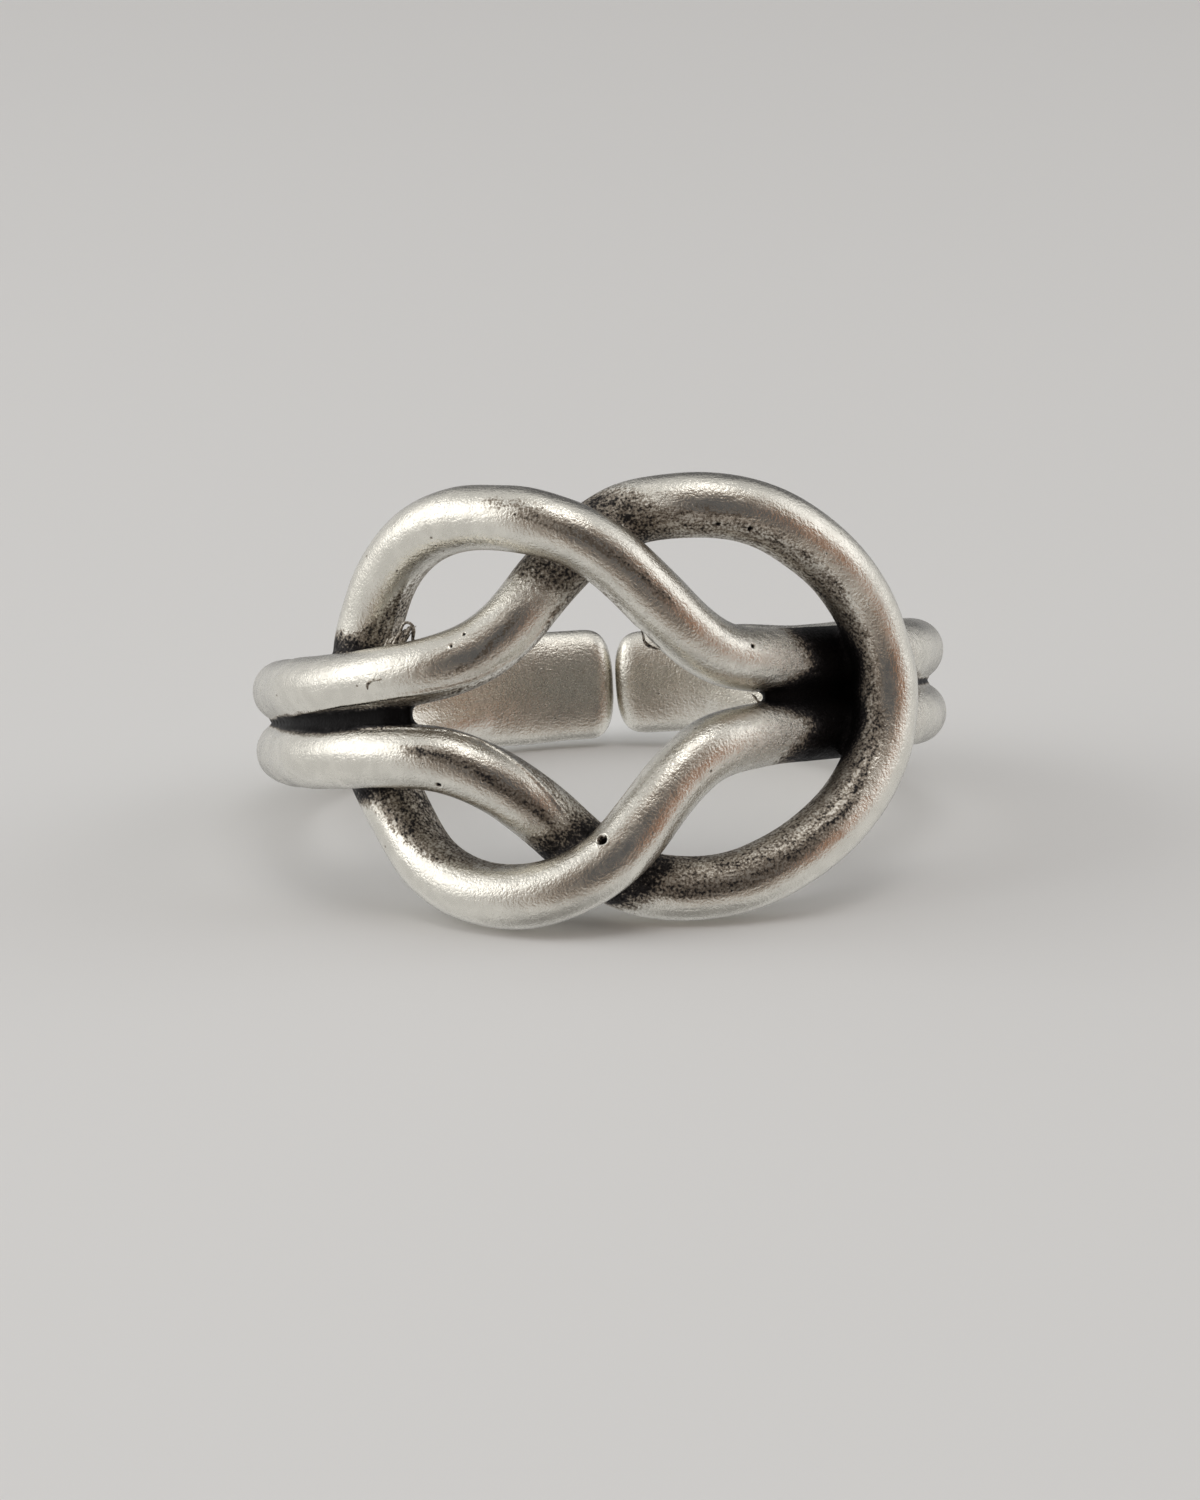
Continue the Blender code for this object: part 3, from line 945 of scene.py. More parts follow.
def to_tab(places, side, size):
    """Distance to a tab: an oval bar bent round the finger, with a rounded end.

    The oval is the set where the height and the depth, as shares of its half sizes and raised
    to the tab's power, add up to one. Over its last stretch the way gone, as a share of it and
    raised to the closing power, is added. The distance is what is left over, divided by its
    slope. The angle is counted on past the back, where a tab may end on the other side.
    """
    angle, radius, height = round_the_finger(places)
    angle = np.mod(side * angle, 2.0 * math.pi)
    thick, high, lift = tab_sizes(side, angle, size)
    up = np.abs(height - lift) / (high / 2)
    deep = np.abs(radius - size.tab_middle) / (thick / 2)
    section = np.maximum((up**TAB_POWER + deep**TAB_POWER) ** (1.0 / TAB_POWER), TINY)
    section_slope = np.hypot(
        (up / section) ** (TAB_POWER - 1.0) / (high / 2),
        (deep / section) ** (TAB_POWER - 1.0) / (thick / 2),
    )
    start = abs(tab_start(side, size))
    end = abs(tab_end(side, size))
    gone = np.clip(1.0 - (end - angle) * size.tab_middle / size.tab_closing, 0.0, None)
    level = (section**CLOSING_POWER + gone**CLOSING_POWER) ** (1.0 / CLOSING_POWER)
    slope = np.hypot(
        (section / level) ** (CLOSING_POWER - 1.0) * section_slope,
        (gone / level) ** (CLOSING_POWER - 1.0) / size.tab_closing,
    )
    first = start + TAB_SECTIONS[0][0] * (end - start)
    return np.maximum((level - 1.0) / slope, (first - angle) * size.tab_middle)


def run_together(first, second, reach):
    """Smooth minimum of two distances: their overlap, squared over four reaches, is taken off."""
    overlap = np.clip(reach - np.abs(first - second), 0.0, None)
    return np.minimum(first, second) - overlap * overlap / (4.0 * reach)


def to_ring(places, ring):
    """Distance to the whole casting, with fillets where its forms meet.

    Each tab runs into its legs, but not into the other tab.
    """
    gaps = [to_wire(places, wire, near) for wire, near in zip(ring.wires, ring.nears)]
    whole = run_together(gaps[0], gaps[1], ring.sizes.crossing_fillet)
    for wire in ring.wires:
        whole = run_together(whole, to_web(places, wire, ring.size), ring.sizes.web_fillet)
    return np.minimum(*(
        run_together(whole, to_tab(places, side, ring.size), ring.sizes.tab_fillet)
        for side in (LEFT, RIGHT)
    ))


def slope_of(places, value, ring):
    """Slope of the distance to the casting, from its change over a small step along each axis."""
    return np.stack(
        [(to_ring(places + PROBE * axis, ring) - value) / PROBE for axis in np.eye(3)], axis=-1
    )


def draw_onto_form(places, ring):
    """Places drawn onto the casting, and the directions that point straight out of it there.

    Each pull is Newton's rule: against the slope, by the distance over the slope's length.
    """
    for _ in range(PULLS):
        value = to_ring(places, ring)
        slope = slope_of(places, value, ring)
        places = places - slope * (value / dot(slope, slope))[:, None]
    return places, unit(slope_of(places, to_ring(places, ring), ring))


def dents(places):
    """Soft unevenness: many plane waves of random direction, length and phase, added up."""
    rng = np.random.default_rng(DENT_SEED)
    direction = unit(rng.normal(size=(DENT_WAVES, 3)))
    length = np.exp(rng.uniform(math.log(DENT_SHORTEST), math.log(DENT_LONGEST), DENT_WAVES))
    phase = rng.uniform(0.0, 2.0 * math.pi, DENT_WAVES)
    waves = np.sin(places @ (direction * (2.0 * math.pi / length)[:, None]).T + phase)
    return waves.sum(axis=1) * math.sqrt(2.0 / DENT_WAVES)


def new_mesh(name, places, quads, triangles):
    """Mesh from arrays of places, four-sided faces and triangles."""
    mesh = bpy.data.meshes.new(name)
    mesh.vertices.add(len(places))
    mesh.vertices.foreach_set("co", places.astype(np.float32).ravel())
    corners = np.concatenate([quads.ravel(), triangles.ravel()]).astype(np.int32)
    sides = np.concatenate([np.full(len(quads), 4), np.full(len(triangles), 3)])
    mesh.loops.add(len(corners))
    mesh.loops.foreach_set("vertex_index", corners)
    mesh.polygons.add(len(sides))
    starts = np.concatenate([[0], np.cumsum(sides)[:-1]]).astype(np.int32)
    mesh.polygons.foreach_set("loop_start", starts)
    mesh.update(calc_edges=True)
    return mesh


def joined(skins):
    """Places, four-sided faces and triangles of several skins as one set."""
    offsets = np.cumsum([0] + [len(places) for places, _, _ in skins[:-1]])
    return (
        np.concatenate([places for places, _, _ in skins]),
        np.concatenate([quads + start for (_, quads, _), start in zip(skins, offsets)]),
        np.concatenate([points + start for (_, _, points), start in zip(skins, offsets)]),
    )


def places_of(mesh):
    places = np.empty(len(mesh.vertices) * 3, np.float32)
    mesh.vertices.foreach_get("co", places)
    return places.reshape(-1, 3).astype(float)


def cast_skin(skins, grain):
    """One even skin round all the skins, made at a thousand times the size for its precision."""
    places, quads, triangles = joined(skins)
    mesh = new_mesh("casting", places / MM, quads, triangles)
    casting = bpy.data.objects.new("casting", mesh)
    bpy.context.scene.collection.objects.link(casting)
    remesh = casting.modifiers.new("skin", "REMESH")
    remesh.mode = "VOXEL"
    remesh.voxel_size = grain / MM
    bpy.context.view_layer.update()
    graph = bpy.context.evaluated_depsgraph_get()
    skin = bpy.data.meshes.new_from_object(casting.evaluated_get(graph))
    bpy.data.objects.remove(casting, do_unlink=True)
    skin.vertices.foreach_set("co", (places_of(skin) * MM).astype(np.float32).ravel())
    return skin


def refine(mesh, near):
    """Cuts up the edges whose two ends are both near a small feature."""
    chosen = np.flatnonzero(near[edge_ends(mesh)].all(axis=1))
    work = bmesh.new()
    work.from_mesh(mesh)
    work.edges.ensure_lookup_table()
    edges = [work.edges[number] for number in chosen]
    bmesh.ops.subdivide_edges(work, edges=edges, cuts=FINE_CUTS, use_grid_fill=True)
    work.to_mesh(mesh)
    work.free()


def lying_down():
    """Turn that lays the ring from round its finger axis onto its side."""
    line = Vector((math.cos(LEAN_LINE), math.sin(LEAN_LINE), 0.0))
    return np.array(Matrix.Rotation(LEAN, 3, line))


def lay(places, ring):
    return places @ ring.turn.T + ring.shift


def wire_coordinates(places, ring):
    """Where each place lies beside each of the two wires.

    Gives the gap to the wire, the length along it and the angle round it, from 0 facing out to
    a right angle facing into the bight, with one row for each wire.
    """
    gaps, alongs, arounds = [], [], []
    for wire, near in zip(ring.wires, ring.nears):
        foot, gap = nearest_foot(places, wire, near)
        gaps.append(gap - read_at(wire.girth, foot))
        offset = places - read_at(wire.points, foot)
        out = dot(offset, read_at(wire.outward, foot))
        into = dot(offset, read_at(wire.inward, foot))
        alongs.append(read_at(wire.along, foot))
        arounds.append(np.arctan2(into, out))
    return np.array(gaps), np.array(alongs), np.array(arounds)


def band_amount(along, around, table):
    """Oxide of a wire's dark band: it rises past the charted edge and ends behind the wire."""
    rows = np.array(table)
    edge = np.interp(along / MM, rows[:, 0], rows[:, 1])
    strength = np.interp(along / MM, rows[:, 0], rows[:, 2])
    past = np.degrees(around) - edge
    inside = (along / MM > rows[0, 0]) & (along / MM < rows[-1, 0])
    shape = eased(past, -BAND_SOFT, BAND_SOFT) * (1.0 - eased(np.degrees(around), *BAND_END))
    return np.where(inside, strength * shape, 0.0)


def crossing_amount(along, gap, table):
    """Oxide round a wire's crossings: full against the other wire, gone past its reach."""
    rows = np.array(table)
    reach = MM * np.interp(along / MM, rows[:, 0], rows[:, 1])
    strength = np.interp(along / MM, rows[:, 0], rows[:, 2])
    return strength * (1.0 - eased(gap / reach, *CROSSING_FADE))


def groove_amount(places, wire, size):
    """Oxide between two legs: full on the web and where both are close, fading at the tab."""
    angle, radius, height = round_the_finger(places)
    angle = wire.side * angle
    top, top_radius, bottom, bottom_radius = between_legs(wire, angle)
    farther = np.maximum(
        np.hypot(height - top, radius - top_radius),
        np.hypot(height - bottom, radius - bottom_radius),
    )
    narrow = 1.0 - SEAM_NARROWING * eased(angle, *LEG_CLOSING)
    close = 1.0 - eased((farther - size.wire_radius) / narrow, *GROOVE_REACH)
    start = eased((angle - size.web_angle) * radius, *GROOVE_START)
    on_web = 1.0 - eased(to_web(places, wire, size) / narrow, 0.0, WEB_REACH)
    fade = 1.0 - eased((angle - abs(tab_start(wire.side, size))) * radius, *GROOVE_END)
    return GROOVE_OXIDE * np.maximum(close * start, on_web) * fade


def to_ridge(alongs, arounds, number, table, size):
    """Distance across the skin to a ridge, and how full the ridge stands there."""
    rows = np.array(table)
    along = alongs[number] / MM
    middle = np.interp(along, rows[:, 0], rows[:, 1])
    slope = np.interp(along, rows[:, 0], np.gradient(rows[:, 1], rows[:, 0]))
    steep = np.hypot(1.0, np.radians(slope) * size.wire_radius / MM)
    across = np.radians(np.degrees(arounds[number]) - middle) * size.wire_radius / steep
    first, last = rows[0, 0], rows[-1, 0]
    rise = eased(along, first, first + RIDGE_FADE)
    fall = eased(along, last - RIDGE_FADE, last)
    return across, rise * (1.0 - fall)


def from_hole(alongs, arounds, hole, size):
    """Distance along the skin from the middle of a hole."""
    number, along, around = hole[:3]
    ahead = alongs[number] - along * MM
    aside = (arounds[number] - math.radians(around)) * size.wire_radius
    return np.hypot(ahead, aside)


def near_features(places, ring):
    """Whether each place is so near a ridge or a hole that the skin is to be finer."""
    gaps, alongs, arounds = wire_coordinates(places, ring)
    near = np.zeros(len(places), bool)
    for number, table in RIDGES:
        across, full = to_ridge(alongs, arounds, number, table, ring.size)
        near |= (np.abs(across) < FINE_REACH) & (full > 0.0) & (gaps[number] < FINE_REACH)
    for hole in HOLES:
        away = from_hole(alongs, arounds, hole, ring.size)
        near |= (away < hole[4] * MM + FINE_RIM) & (gaps[hole[0]] < FINE_REACH)
    return near


def fine_relief(places, ring):
    """Height of the parting ridges, a bell across each, and of the holes with their brims."""
    gaps, alongs, arounds = wire_coordinates(places, ring)
    height = np.zeros(len(places))
    for number, table in RIDGES:
        across, full = to_ridge(alongs, arounds, number, table, ring.size)
        close = gaps[number] < FINE_REACH
        height += RIDGE_HEIGHT * full * close * np.exp(-((across / RIDGE_WIDTH) ** 2))
    for hole in HOLES:
        away = from_hole(alongs, arounds, hole, ring.size)
        foot, brim, depth, raised = np.array(hole[3:]) * MM
        bell = raised * np.exp(-(((away - brim) / (brim - foot)) ** 2))
        dip = depth * (1.0 - eased(away, foot, brim))
        height += (bell - dip) * (gaps[hole[0]] < FINE_REACH)
    return height


def surface_state(places, ring):
    """What the finish needs to know of each place.

    Gives the oxide on it, from grooves, crossings, holes, charted bands and stains, with
    painted shade in the holes and in the black pocket under the right bight, and on the tabs
    their thin tarnish; the grit of the casting; and its place beside the wires once these are
    straightened and laid end to end.
    """
    gaps, alongs, arounds = wire_coordinates(places, ring)
    left_is_near = gaps[0] < gaps[1]
    tables = ((LEFT_BAND, LEFT_CROSSINGS, LEFT_GRIT), (RIGHT_BAND, RIGHT_CROSSINGS, RIGHT_GRIT))
    oxides, grits = [], []
    for along, around, gap, (band, crossings, grit) in zip(alongs, arounds, gaps[::-1], tables):
        # Under the right bight the crossing oxide reaches farther between the legs: oxide and
        # painted shade in the black pocket there
        on_leg = eased(np.abs(along) / MM, *POCKET_SHADE_START)
        spread = 1.0 + POCKET_SHADE_SPREAD * on_leg * eased(np.degrees(around), *POCKET_SHADE_ANGLES)
        near_other = crossing_amount(along, gap / spread, crossings)
        oxides.append(np.maximum(band_amount(along, around, band), near_other))
        grits.append(crossing_amount(along, gap, grit))
    for number, reach, strength, table in STAINS:
        across, full = to_ridge(alongs, arounds, number, table, ring.size)
        stain = strength * full * (1.0 - eased(np.abs(across), 0.0, reach * MM))
        oxides[number] = np.maximum(oxides[number], stain)
    oxide = np.where(left_is_near, *oxides)
    for wire in ring.wires:
        oxide = np.maximum(oxide, groove_amount(places, wire, ring.size))
    # Holes: black oxide, with painted shade for their depth
    for hole in HOLES:
        away = from_hole(alongs, arounds, hole, ring.size)
        inside = 1.0 - eased(away, hole[3] * MM, hole[4] * MM)
        oxide = np.maximum(oxide, HOLE_OXIDE_AND_SHADE * inside * (gaps[hole[0]] < FINE_REACH))
    tabs = np.min([to_tab(places, side, ring.size) for side in (LEFT, RIGHT)], axis=0)
    off_tabs = eased(tabs, 0.0, TAB_SKIN)
    oxide = oxide * off_tabs + tab_patina(places, ring) * (1.0 - off_tabs)
    straight = [
        np.stack(
            [along + start, girth * np.cos(around), girth * np.sin(around)], axis=-1
        )
        for along, around, girth, start in zip(
            alongs, arounds, [gap + ring.size.wire_radius for gap in gaps], (0.0, WIRE_OFFSET)
        )
    ]
    return oxide, np.where(left_is_near, *grits), np.where(left_is_near[:, None], *straight)


def edge_ends(mesh):
    ends = np.empty(2 * len(mesh.edges), np.int32)
    mesh.edges.foreach_get("vertices", ends)
    return ends.reshape(-1, 2)


def unbroken(mesh, places, straight):
    """1 where neighbours stay neighbours on the straightened wires, and 0 beside a break."""
    first, second = edge_ends(mesh).T
    apart = np.linalg.norm(places[first] - places[second], axis=1)
    moved = np.linalg.norm(straight[first] - straight[second], axis=1)
    broken = moved > BREAK * apart
    whole = np.ones(len(places))
    whole[first[broken]] = 0.0
    whole[second[broken]] = 0.0
    return whole


def tab_patina(places, ring):
    """Thin tarnish on the flat inner faces of the tabs, fading towards their edges."""
    angle, radius, height = round_the_finger(places)
    amount = np.zeros(len(places))
    for side in (LEFT, RIGHT):
        thick, high, lift = tab_sizes(side, side * angle, ring.size)
        inner = ring.size.tab_middle - thick / 2
        facing = 1.0 - eased(radius - inner, *PATINA_DEPTH)
        from_edge = high / 2 - np.abs(height - lift)
        from_end = (abs(tab_end(side, ring.size)) - side * angle) * ring.size.tab_middle
        flat = eased(from_edge, *PATINA_FROM_EDGE) * eased(from_end, *PATINA_FROM_END)
        amount = np.maximum(amount, np.where(side * angle > 0.0, facing * flat, 0.0))
    return TAB_PATINA * amount


def put_attribute(mesh, name, values):
    """One number, or one vector, for each point of a mesh."""
    kind, field = ("FLOAT", "value") if values.ndim == 1 else ("FLOAT_VECTOR", "vector")
    layer = mesh.attributes.new(name, kind, "POINT")
    layer.data.foreach_set(field, values.astype(np.float32).ravel())


def ring_model(sizes):
    """The ring's wires, worked out sizes and resting place."""
    size = worked_out(sizes)
    wires = (
        wire_path(RIGHT, LEFT_BIGHT, RIGHT_LEGS, size),
        wire_path(LEFT, RIGHT_BIGHT, LEFT_LEGS, size),
    )
    ring = SimpleNamespace(sizes=sizes, size=size, wires=wires, nears=None)
    ring.turn = lying_down()
    skins = [wire_skin(wire) for wire in wires] + [tab_skin(side, size) for side in (LEFT, RIGHT)]
    places = np.concatenate([skin[0] for skin in skins]) @ ring.turn.T
    low, high = places.min(axis=0), places.max(axis=0)
    middle = (low + high) / 2
    ring.shift = -np.array([middle[0], middle[1], low[2]])
    return ring


def knot_ring_mesh(sizes):
    """The whole casting as one fine mesh, laid down, with its surface state as attributes."""
    ring = ring_model(sizes)
    skins = [wire_skin(wire) for wire in ring.wires]
    skins += [web_skin(wire, ring.size) for wire in ring.wires]
    skins += [tab_skin(side, ring.size) for side in (LEFT, RIGHT)]
    mesh = cast_skin(skins, sizes.skin_grain)
    mesh.name = "silver_knot"
    places = places_of(mesh)
    ring.nears = [nearest_sample(places, wire) for wire in ring.wires]
    refine(mesh, near_features(places, ring))
    places = places_of(mesh)
    ring.nears = [nearest_sample(places, wire) for wire in ring.wires]
    places, normals = draw_onto_form(places, ring)
    oxide, grit, straight = surface_state(places, ring)
    raised = sizes.dent_depth * dents(places) + fine_relief(places, ring)
    places = places + normals * raised[:, None]
    mesh.vertices.foreach_set("co", lay(places, ring).astype(np.float32).ravel())
    # The oxide attribute carries black oxide, and painted shade where it runs high: in the holes,
    # under the right bight and in the deepest recesses
    put_attribute(mesh, "oxide", oxide)
    put_attribute(mesh, "grit", grit)
    put_attribute(mesh, "straightened", straight)
    put_attribute(mesh, "unbroken", unbroken(mesh, places, straight))
    mesh.update()
    mesh.shade_smooth()
    return mesh


def thread_skin(points, radius, rng):
    """A lumpy round thread along a path.

    Its radius swells and shrinks in two sine waves, and tapers to both ends as the square root
    of four times the share of the way gone times the share left.
    """
    tangent = unit(np.gradient(points, axis=0))
    across = unit(np.cross(tangent, np.array(THREAD_ASIDE)))
    share = np.linspace(0.0, 1.0, len(points))
    phases = rng.uniform(0.0, 2.0 * math.pi, len(THREAD_SWELLS))
    swell = sum(
        height * np.sin(pace * share + phase)
        for (pace, height), phase in zip(THREAD_SWELLS, phases)
    )
    taper = np.sqrt(np.clip(4.0 * share * (1.0 - share), THREAD_TIP, 1.0))
    girth = radius * (1.0 + swell) * taper
    return carried(points, across, np.cross(tangent, across), girth, girth, ROUND, THREAD_SIDES)


def thread_path(rows):
    """Spline through rows of places by chord length."""
    length = np.concatenate([[0.0], np.cumsum(np.linalg.norm(np.diff(rows, axis=0), axis=1))])
    return smooth_curve(length, rows, np.linspace(0.0, length[-1], THREAD_STEPS))


def flash_coil(rng):
    """A widening circle turned along a run, plus a wave of random pace along each axis."""
    share = np.linspace(0.0, 1.0, FLASH_STEPS)[:, None]
    turn = 2.0 * math.pi * FLASH_TURNS * share
    first, last = FLASH_GIRTH
    circle = np.cos(turn) * np.array(FLASH_LEAN) + np.sin(turn) * np.array(FLASH_DEPTH)
    wander = np.sin(turn * rng.uniform(*FLASH_WANDER, 3))
    middle = np.array(FLASH_START) + share * np.array(FLASH_RUN)
    return (middle + (first + (last - first) * share) * circle + FLASH_SHAKE * wander) * MM


def on_wire(wire, rows):
    """Places by a wire, from rows of length along it, angle round it and lift off it."""
    along, around, lift = np.array(rows).T
    foot = np.interp(along * MM, wire.along, np.arange(len(wire.along)))
    out = read_at(wire.outward, foot) * np.cos(np.radians(around))[:, None]
    into = read_at(wire.inward, foot) * np.sin(np.radians(around))[:, None]
    girth = read_at(wire.girth, foot) + lift * MM
    return read_at(wire.points, foot) + girth[:, None] * (out + into)


def flash_mesh(sizes):
    """The crumpled flash with its loop, the web's burr and the curls, laid down."""
    ring = ring_model(sizes)
    rng = np.random.default_rng(FLASH_SEED)
    skins = [thread_skin(flash_coil(rng), COIL_RADIUS, rng)]
    for rows, radius in ((FLASH_LOOP, LOOP_RADIUS), (WEB_BURR, BURR_RADIUS)):
        skins.append(thread_skin(thread_path(np.array(rows) * MM), radius, rng))
    for number, rows in CURLS:
        path = thread_path(on_wire(ring.wires[number], rows))
        skins.append(thread_skin(path, BURR_RADIUS, rng))
    places, quads, triangles = joined(skins)
    mesh = new_mesh("casting_flash", lay(places, ring), quads, triangles)
    put_attribute(mesh, "oxide", np.full(len(places), FLASH_OXIDE))
    put_attribute(mesh, "grit", np.zeros(len(places)))
    put_attribute(mesh, "straightened", places)
    put_attribute(mesh, "unbroken", np.ones(len(places)))
    mesh.shade_smooth()
    return mesh


def add_node(tree, kind, inputs=None, **settings):
    """A shader node with its settings, and its inputs as values or links."""
    made = tree.nodes.new(kind)
    for name, value in settings.items():
        setattr(made, name, value)
    for name, value in (inputs or {}).items():
        if isinstance(value, bpy.types.NodeSocket):
            tree.links.new(value, made.inputs[name])
        else:
            made.inputs[name].default_value = value
    return made


def mapped(tree, value, low, high, to_low=0.0, to_high=1.0):
    """A value eased from one span to another."""
    made = add_node(
        tree, "ShaderNodeMapRange",
        {"Value": value, "From Min": low, "From Max": high, "To Min": to_low, "To Max": to_high},
        interpolation_type="SMOOTHSTEP",
    )
    return made.outputs["Result"]


def maths(tree, operation, first, second):
    made = add_node(tree, "ShaderNodeMath", {0: first, 1: second}, operation=operation)
    return made.outputs["Value"]


def noise(tree, place, size, detail=2.0, roughness=0.5):
    """Noise whose lumps are about size across."""
    made = add_node(
        tree, "ShaderNodeTexNoise",
        {"Vector": place, "Scale": 1.0 / size, "Detail": detail, "Roughness": roughness},
    )
    return made.outputs["Fac"]


def mixed(tree, share, first, second):
    made = add_node(tree, "ShaderNodeMix", data_type="RGBA")
    for name, value in (("Factor", share), ("A", first), ("B", second)):
        socket = next(s for s in made.inputs if s.name == name and s.enabled)
        if isinstance(value, bpy.types.NodeSocket):
            tree.links.new(value, socket)
        else:
            socket.default_value = value
    return next(s for s in made.outputs if s.enabled)


def weighed(tree, parts):
    """Sum of values, each less a half, times their weights."""
    total = 0.0
    for value, weight in parts:
        inputs = {0: value, 1: weight, 2: -0.5 * weight}
        made = add_node(tree, "ShaderNodeMath", inputs, operation="MULTIPLY_ADD")
        total = maths(tree, "ADD", total, made.outputs["Value"])
    return total


def stretched(tree, place, factors):
    made = add_node(tree, "ShaderNodeVectorMath", {0: place, 1: factors}, operation="MULTIPLY")
    return made.outputs["Vector"]


def pits(tree, place):
    """Small round pits round scattered points, 1 in a pit and 0 outside."""
    cells = add_node(tree, "ShaderNodeTexVoronoi", {"Vector": place, "Scale": 1.0 / PIT_SPACING})
    rim = PIT_RADIUS / PIT_SPACING
    return mapped(tree, cells.outputs["Distance"], rim, PIT_FLOOR * rim)


def antique_silver(finish):
    """Rubbed silver plate over black oxide.

    The oxide attribute is broken up by specks, by streaks along the straightened wires and by
    patches. Where the sum is high the metal is black and dull, and where it is highest the
    black is darkened further, as painted shade in the deepest recesses; round that it is
    thinly tarnished, and elsewhere it is rubbed bright. The height of the relief is in
    millimetres: fine grain and streaks all over, lumps where the casting is gritty, and pits.
    """
    material = bpy.data.materials.get(PLATING)
    if material:
        return material
    material = bpy.data.materials.new(PLATING)
    material.use_nodes = True
    tree = material.node_tree
    shader = tree.nodes["Principled BSDF"]
    place = add_node(tree, "ShaderNodeTexCoord").outputs["Object"]
    charted, grit, straight, whole = (
        add_node(tree, "ShaderNodeAttribute", attribute_name=name).outputs[socket]
        for name, socket in (
            ("oxide", "Fac"), ("grit", "Fac"), ("straightened", "Vector"), ("unbroken", "Fac")
        )
    )
    lengthwise = stretched(tree, straight, STREAK_STRETCH)

    specks = noise(tree, place, *SPECKS)
    streaks = weighed(tree, ((noise(tree, lengthwise, *STREAKS), 1.0),))
    streaks = maths(tree, "ADD", 0.5, maths(tree, "MULTIPLY", streaks, whole))
    patches = noise(tree, place, *PATCHES)
    pitted = pits(tree, place)
    scatter = weighed(tree, zip((specks, streaks, patches), SCATTER_WEIGHTS))
    liveliness = mapped(tree, charted, *SCATTER_SPAN)
    amount = maths(tree, "ADD", charted, maths(tree, "MULTIPLY", scatter, liveliness))
    amount = maths(tree, "ADD", amount, maths(tree, "MULTIPLY", pitted, PIT_OXIDE))
    black = mapped(tree, amount, *BLACK_SPAN)
    # Share of painted shade, where the amount is highest in the deepest recesses
    deep = mapped(tree, amount, *DEEP_SHADE_SPAN)
    film = mapped(tree, charted, *FILM_SPAN)
    brown = mapped(tree, amount, *BROWN_SPAN)
    brown = maths(tree, "MAXIMUM", brown, maths(tree, "MULTIPLY", film, FILM_BROWN))

    cloudy = mapped(tree, noise(tree, place, *CLOUDS), *CLOUD_SPAN)
    worn = tuple(WORN_SHARE * channel for channel in finish.silver)
    rubbed = mixed(tree, cloudy, (*finish.silver, 1.0), (*worn, 1.0))
    tarnished = mixed(tree, brown, rubbed, (*finish.patina, 1.0))
    coated = mixed(tree, black, tarnished, (*finish.oxide, 1.0))
    # Painted shade: the black oxide is darkened further where the amount is highest, in tight
    # grooves, holes and crossings
    shaded_oxide = tuple(DEEP_SHADE_SHARE * channel for channel in finish.oxide)
    colour = mixed(tree, deep, coated, (*shaded_oxide, 1.0))
    tree.links.new(colour, shader.inputs["Base Color"])
    shader.inputs["Metallic"].default_value = 1.0

    satin = weighed(tree, zip((specks, streaks, patches), SATIN_WEIGHTS))
    satin = maths(tree, "ADD", finish.gloss, satin)
    dull = mapped(tree, amount, *DULL_SPAN, 0.0, finish.dullness - finish.gloss)
    dull = maths(tree, "MAXIMUM", dull, maths(tree, "MULTIPLY", film, FILM_DULL))
    tree.links.new(maths(tree, "ADD", satin, dull), shader.inputs["Roughness"])

    lumps = noise(tree, place, *LUMPS)
    relief = maths(tree, "MULTIPLY", weighed(tree, ((lumps, LUMP_HEIGHT),)), grit)
    ripples = noise(tree, place, *RIPPLES)
    fine = weighed(tree, zip((specks, streaks, ripples), FINE_HEIGHTS))
    relief = maths(tree, "ADD", relief, fine)
    relief = maths(tree, "SUBTRACT", relief, maths(tree, "MULTIPLY", pitted, PIT_DEPTH))
    bump = add_node(tree, "ShaderNodeBump", {"Height": relief, "Strength": 1.0, "Distance": MM})
    tree.links.new(bump.outputs["Normal"], shader.inputs["Normal"])
    return material


def add_object(name, mesh, material):
    mesh.materials.clear()
    mesh.materials.append(material)
    item = bpy.data.objects.new(name, mesh)
    bpy.context.scene.collection.objects.link(item)
    return item


class KNOTRING_OT_silver_knot(Operator):
    """Cast the two wires, their webs and the tabs as one silver knot ring"""

    bl_idname = "knot_ring.silver_knot"
    bl_label = "Silver Knot"
    bl_options = {"REGISTER", "UNDO"}

    def execute(self, context):
        scene = context.scene
        mesh = knot_ring_mesh(scene.knot_ring_sizes)
        knot = add_object("silver_knot", mesh, antique_silver(scene.knot_ring_finish))
        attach(knot, BODY)
        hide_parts(CAD_NODE)
        return {"FINISHED"}


class KNOTRING_OT_casting_flash(Operator):
    """Leave the casting flash: a coil and loop, a burr at the web and two curls on the wires"""

    bl_idname = "knot_ring.casting_flash"
    bl_label = "Casting Flash"
    bl_options = {"REGISTER", "UNDO"}

    def execute(self, context):
        scene = context.scene
        mesh = flash_mesh(scene.knot_ring_sizes)
        flash = add_object("casting_flash", mesh, antique_silver(scene.knot_ring_finish))
        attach(flash, BODY)
        return {"FINISHED"}


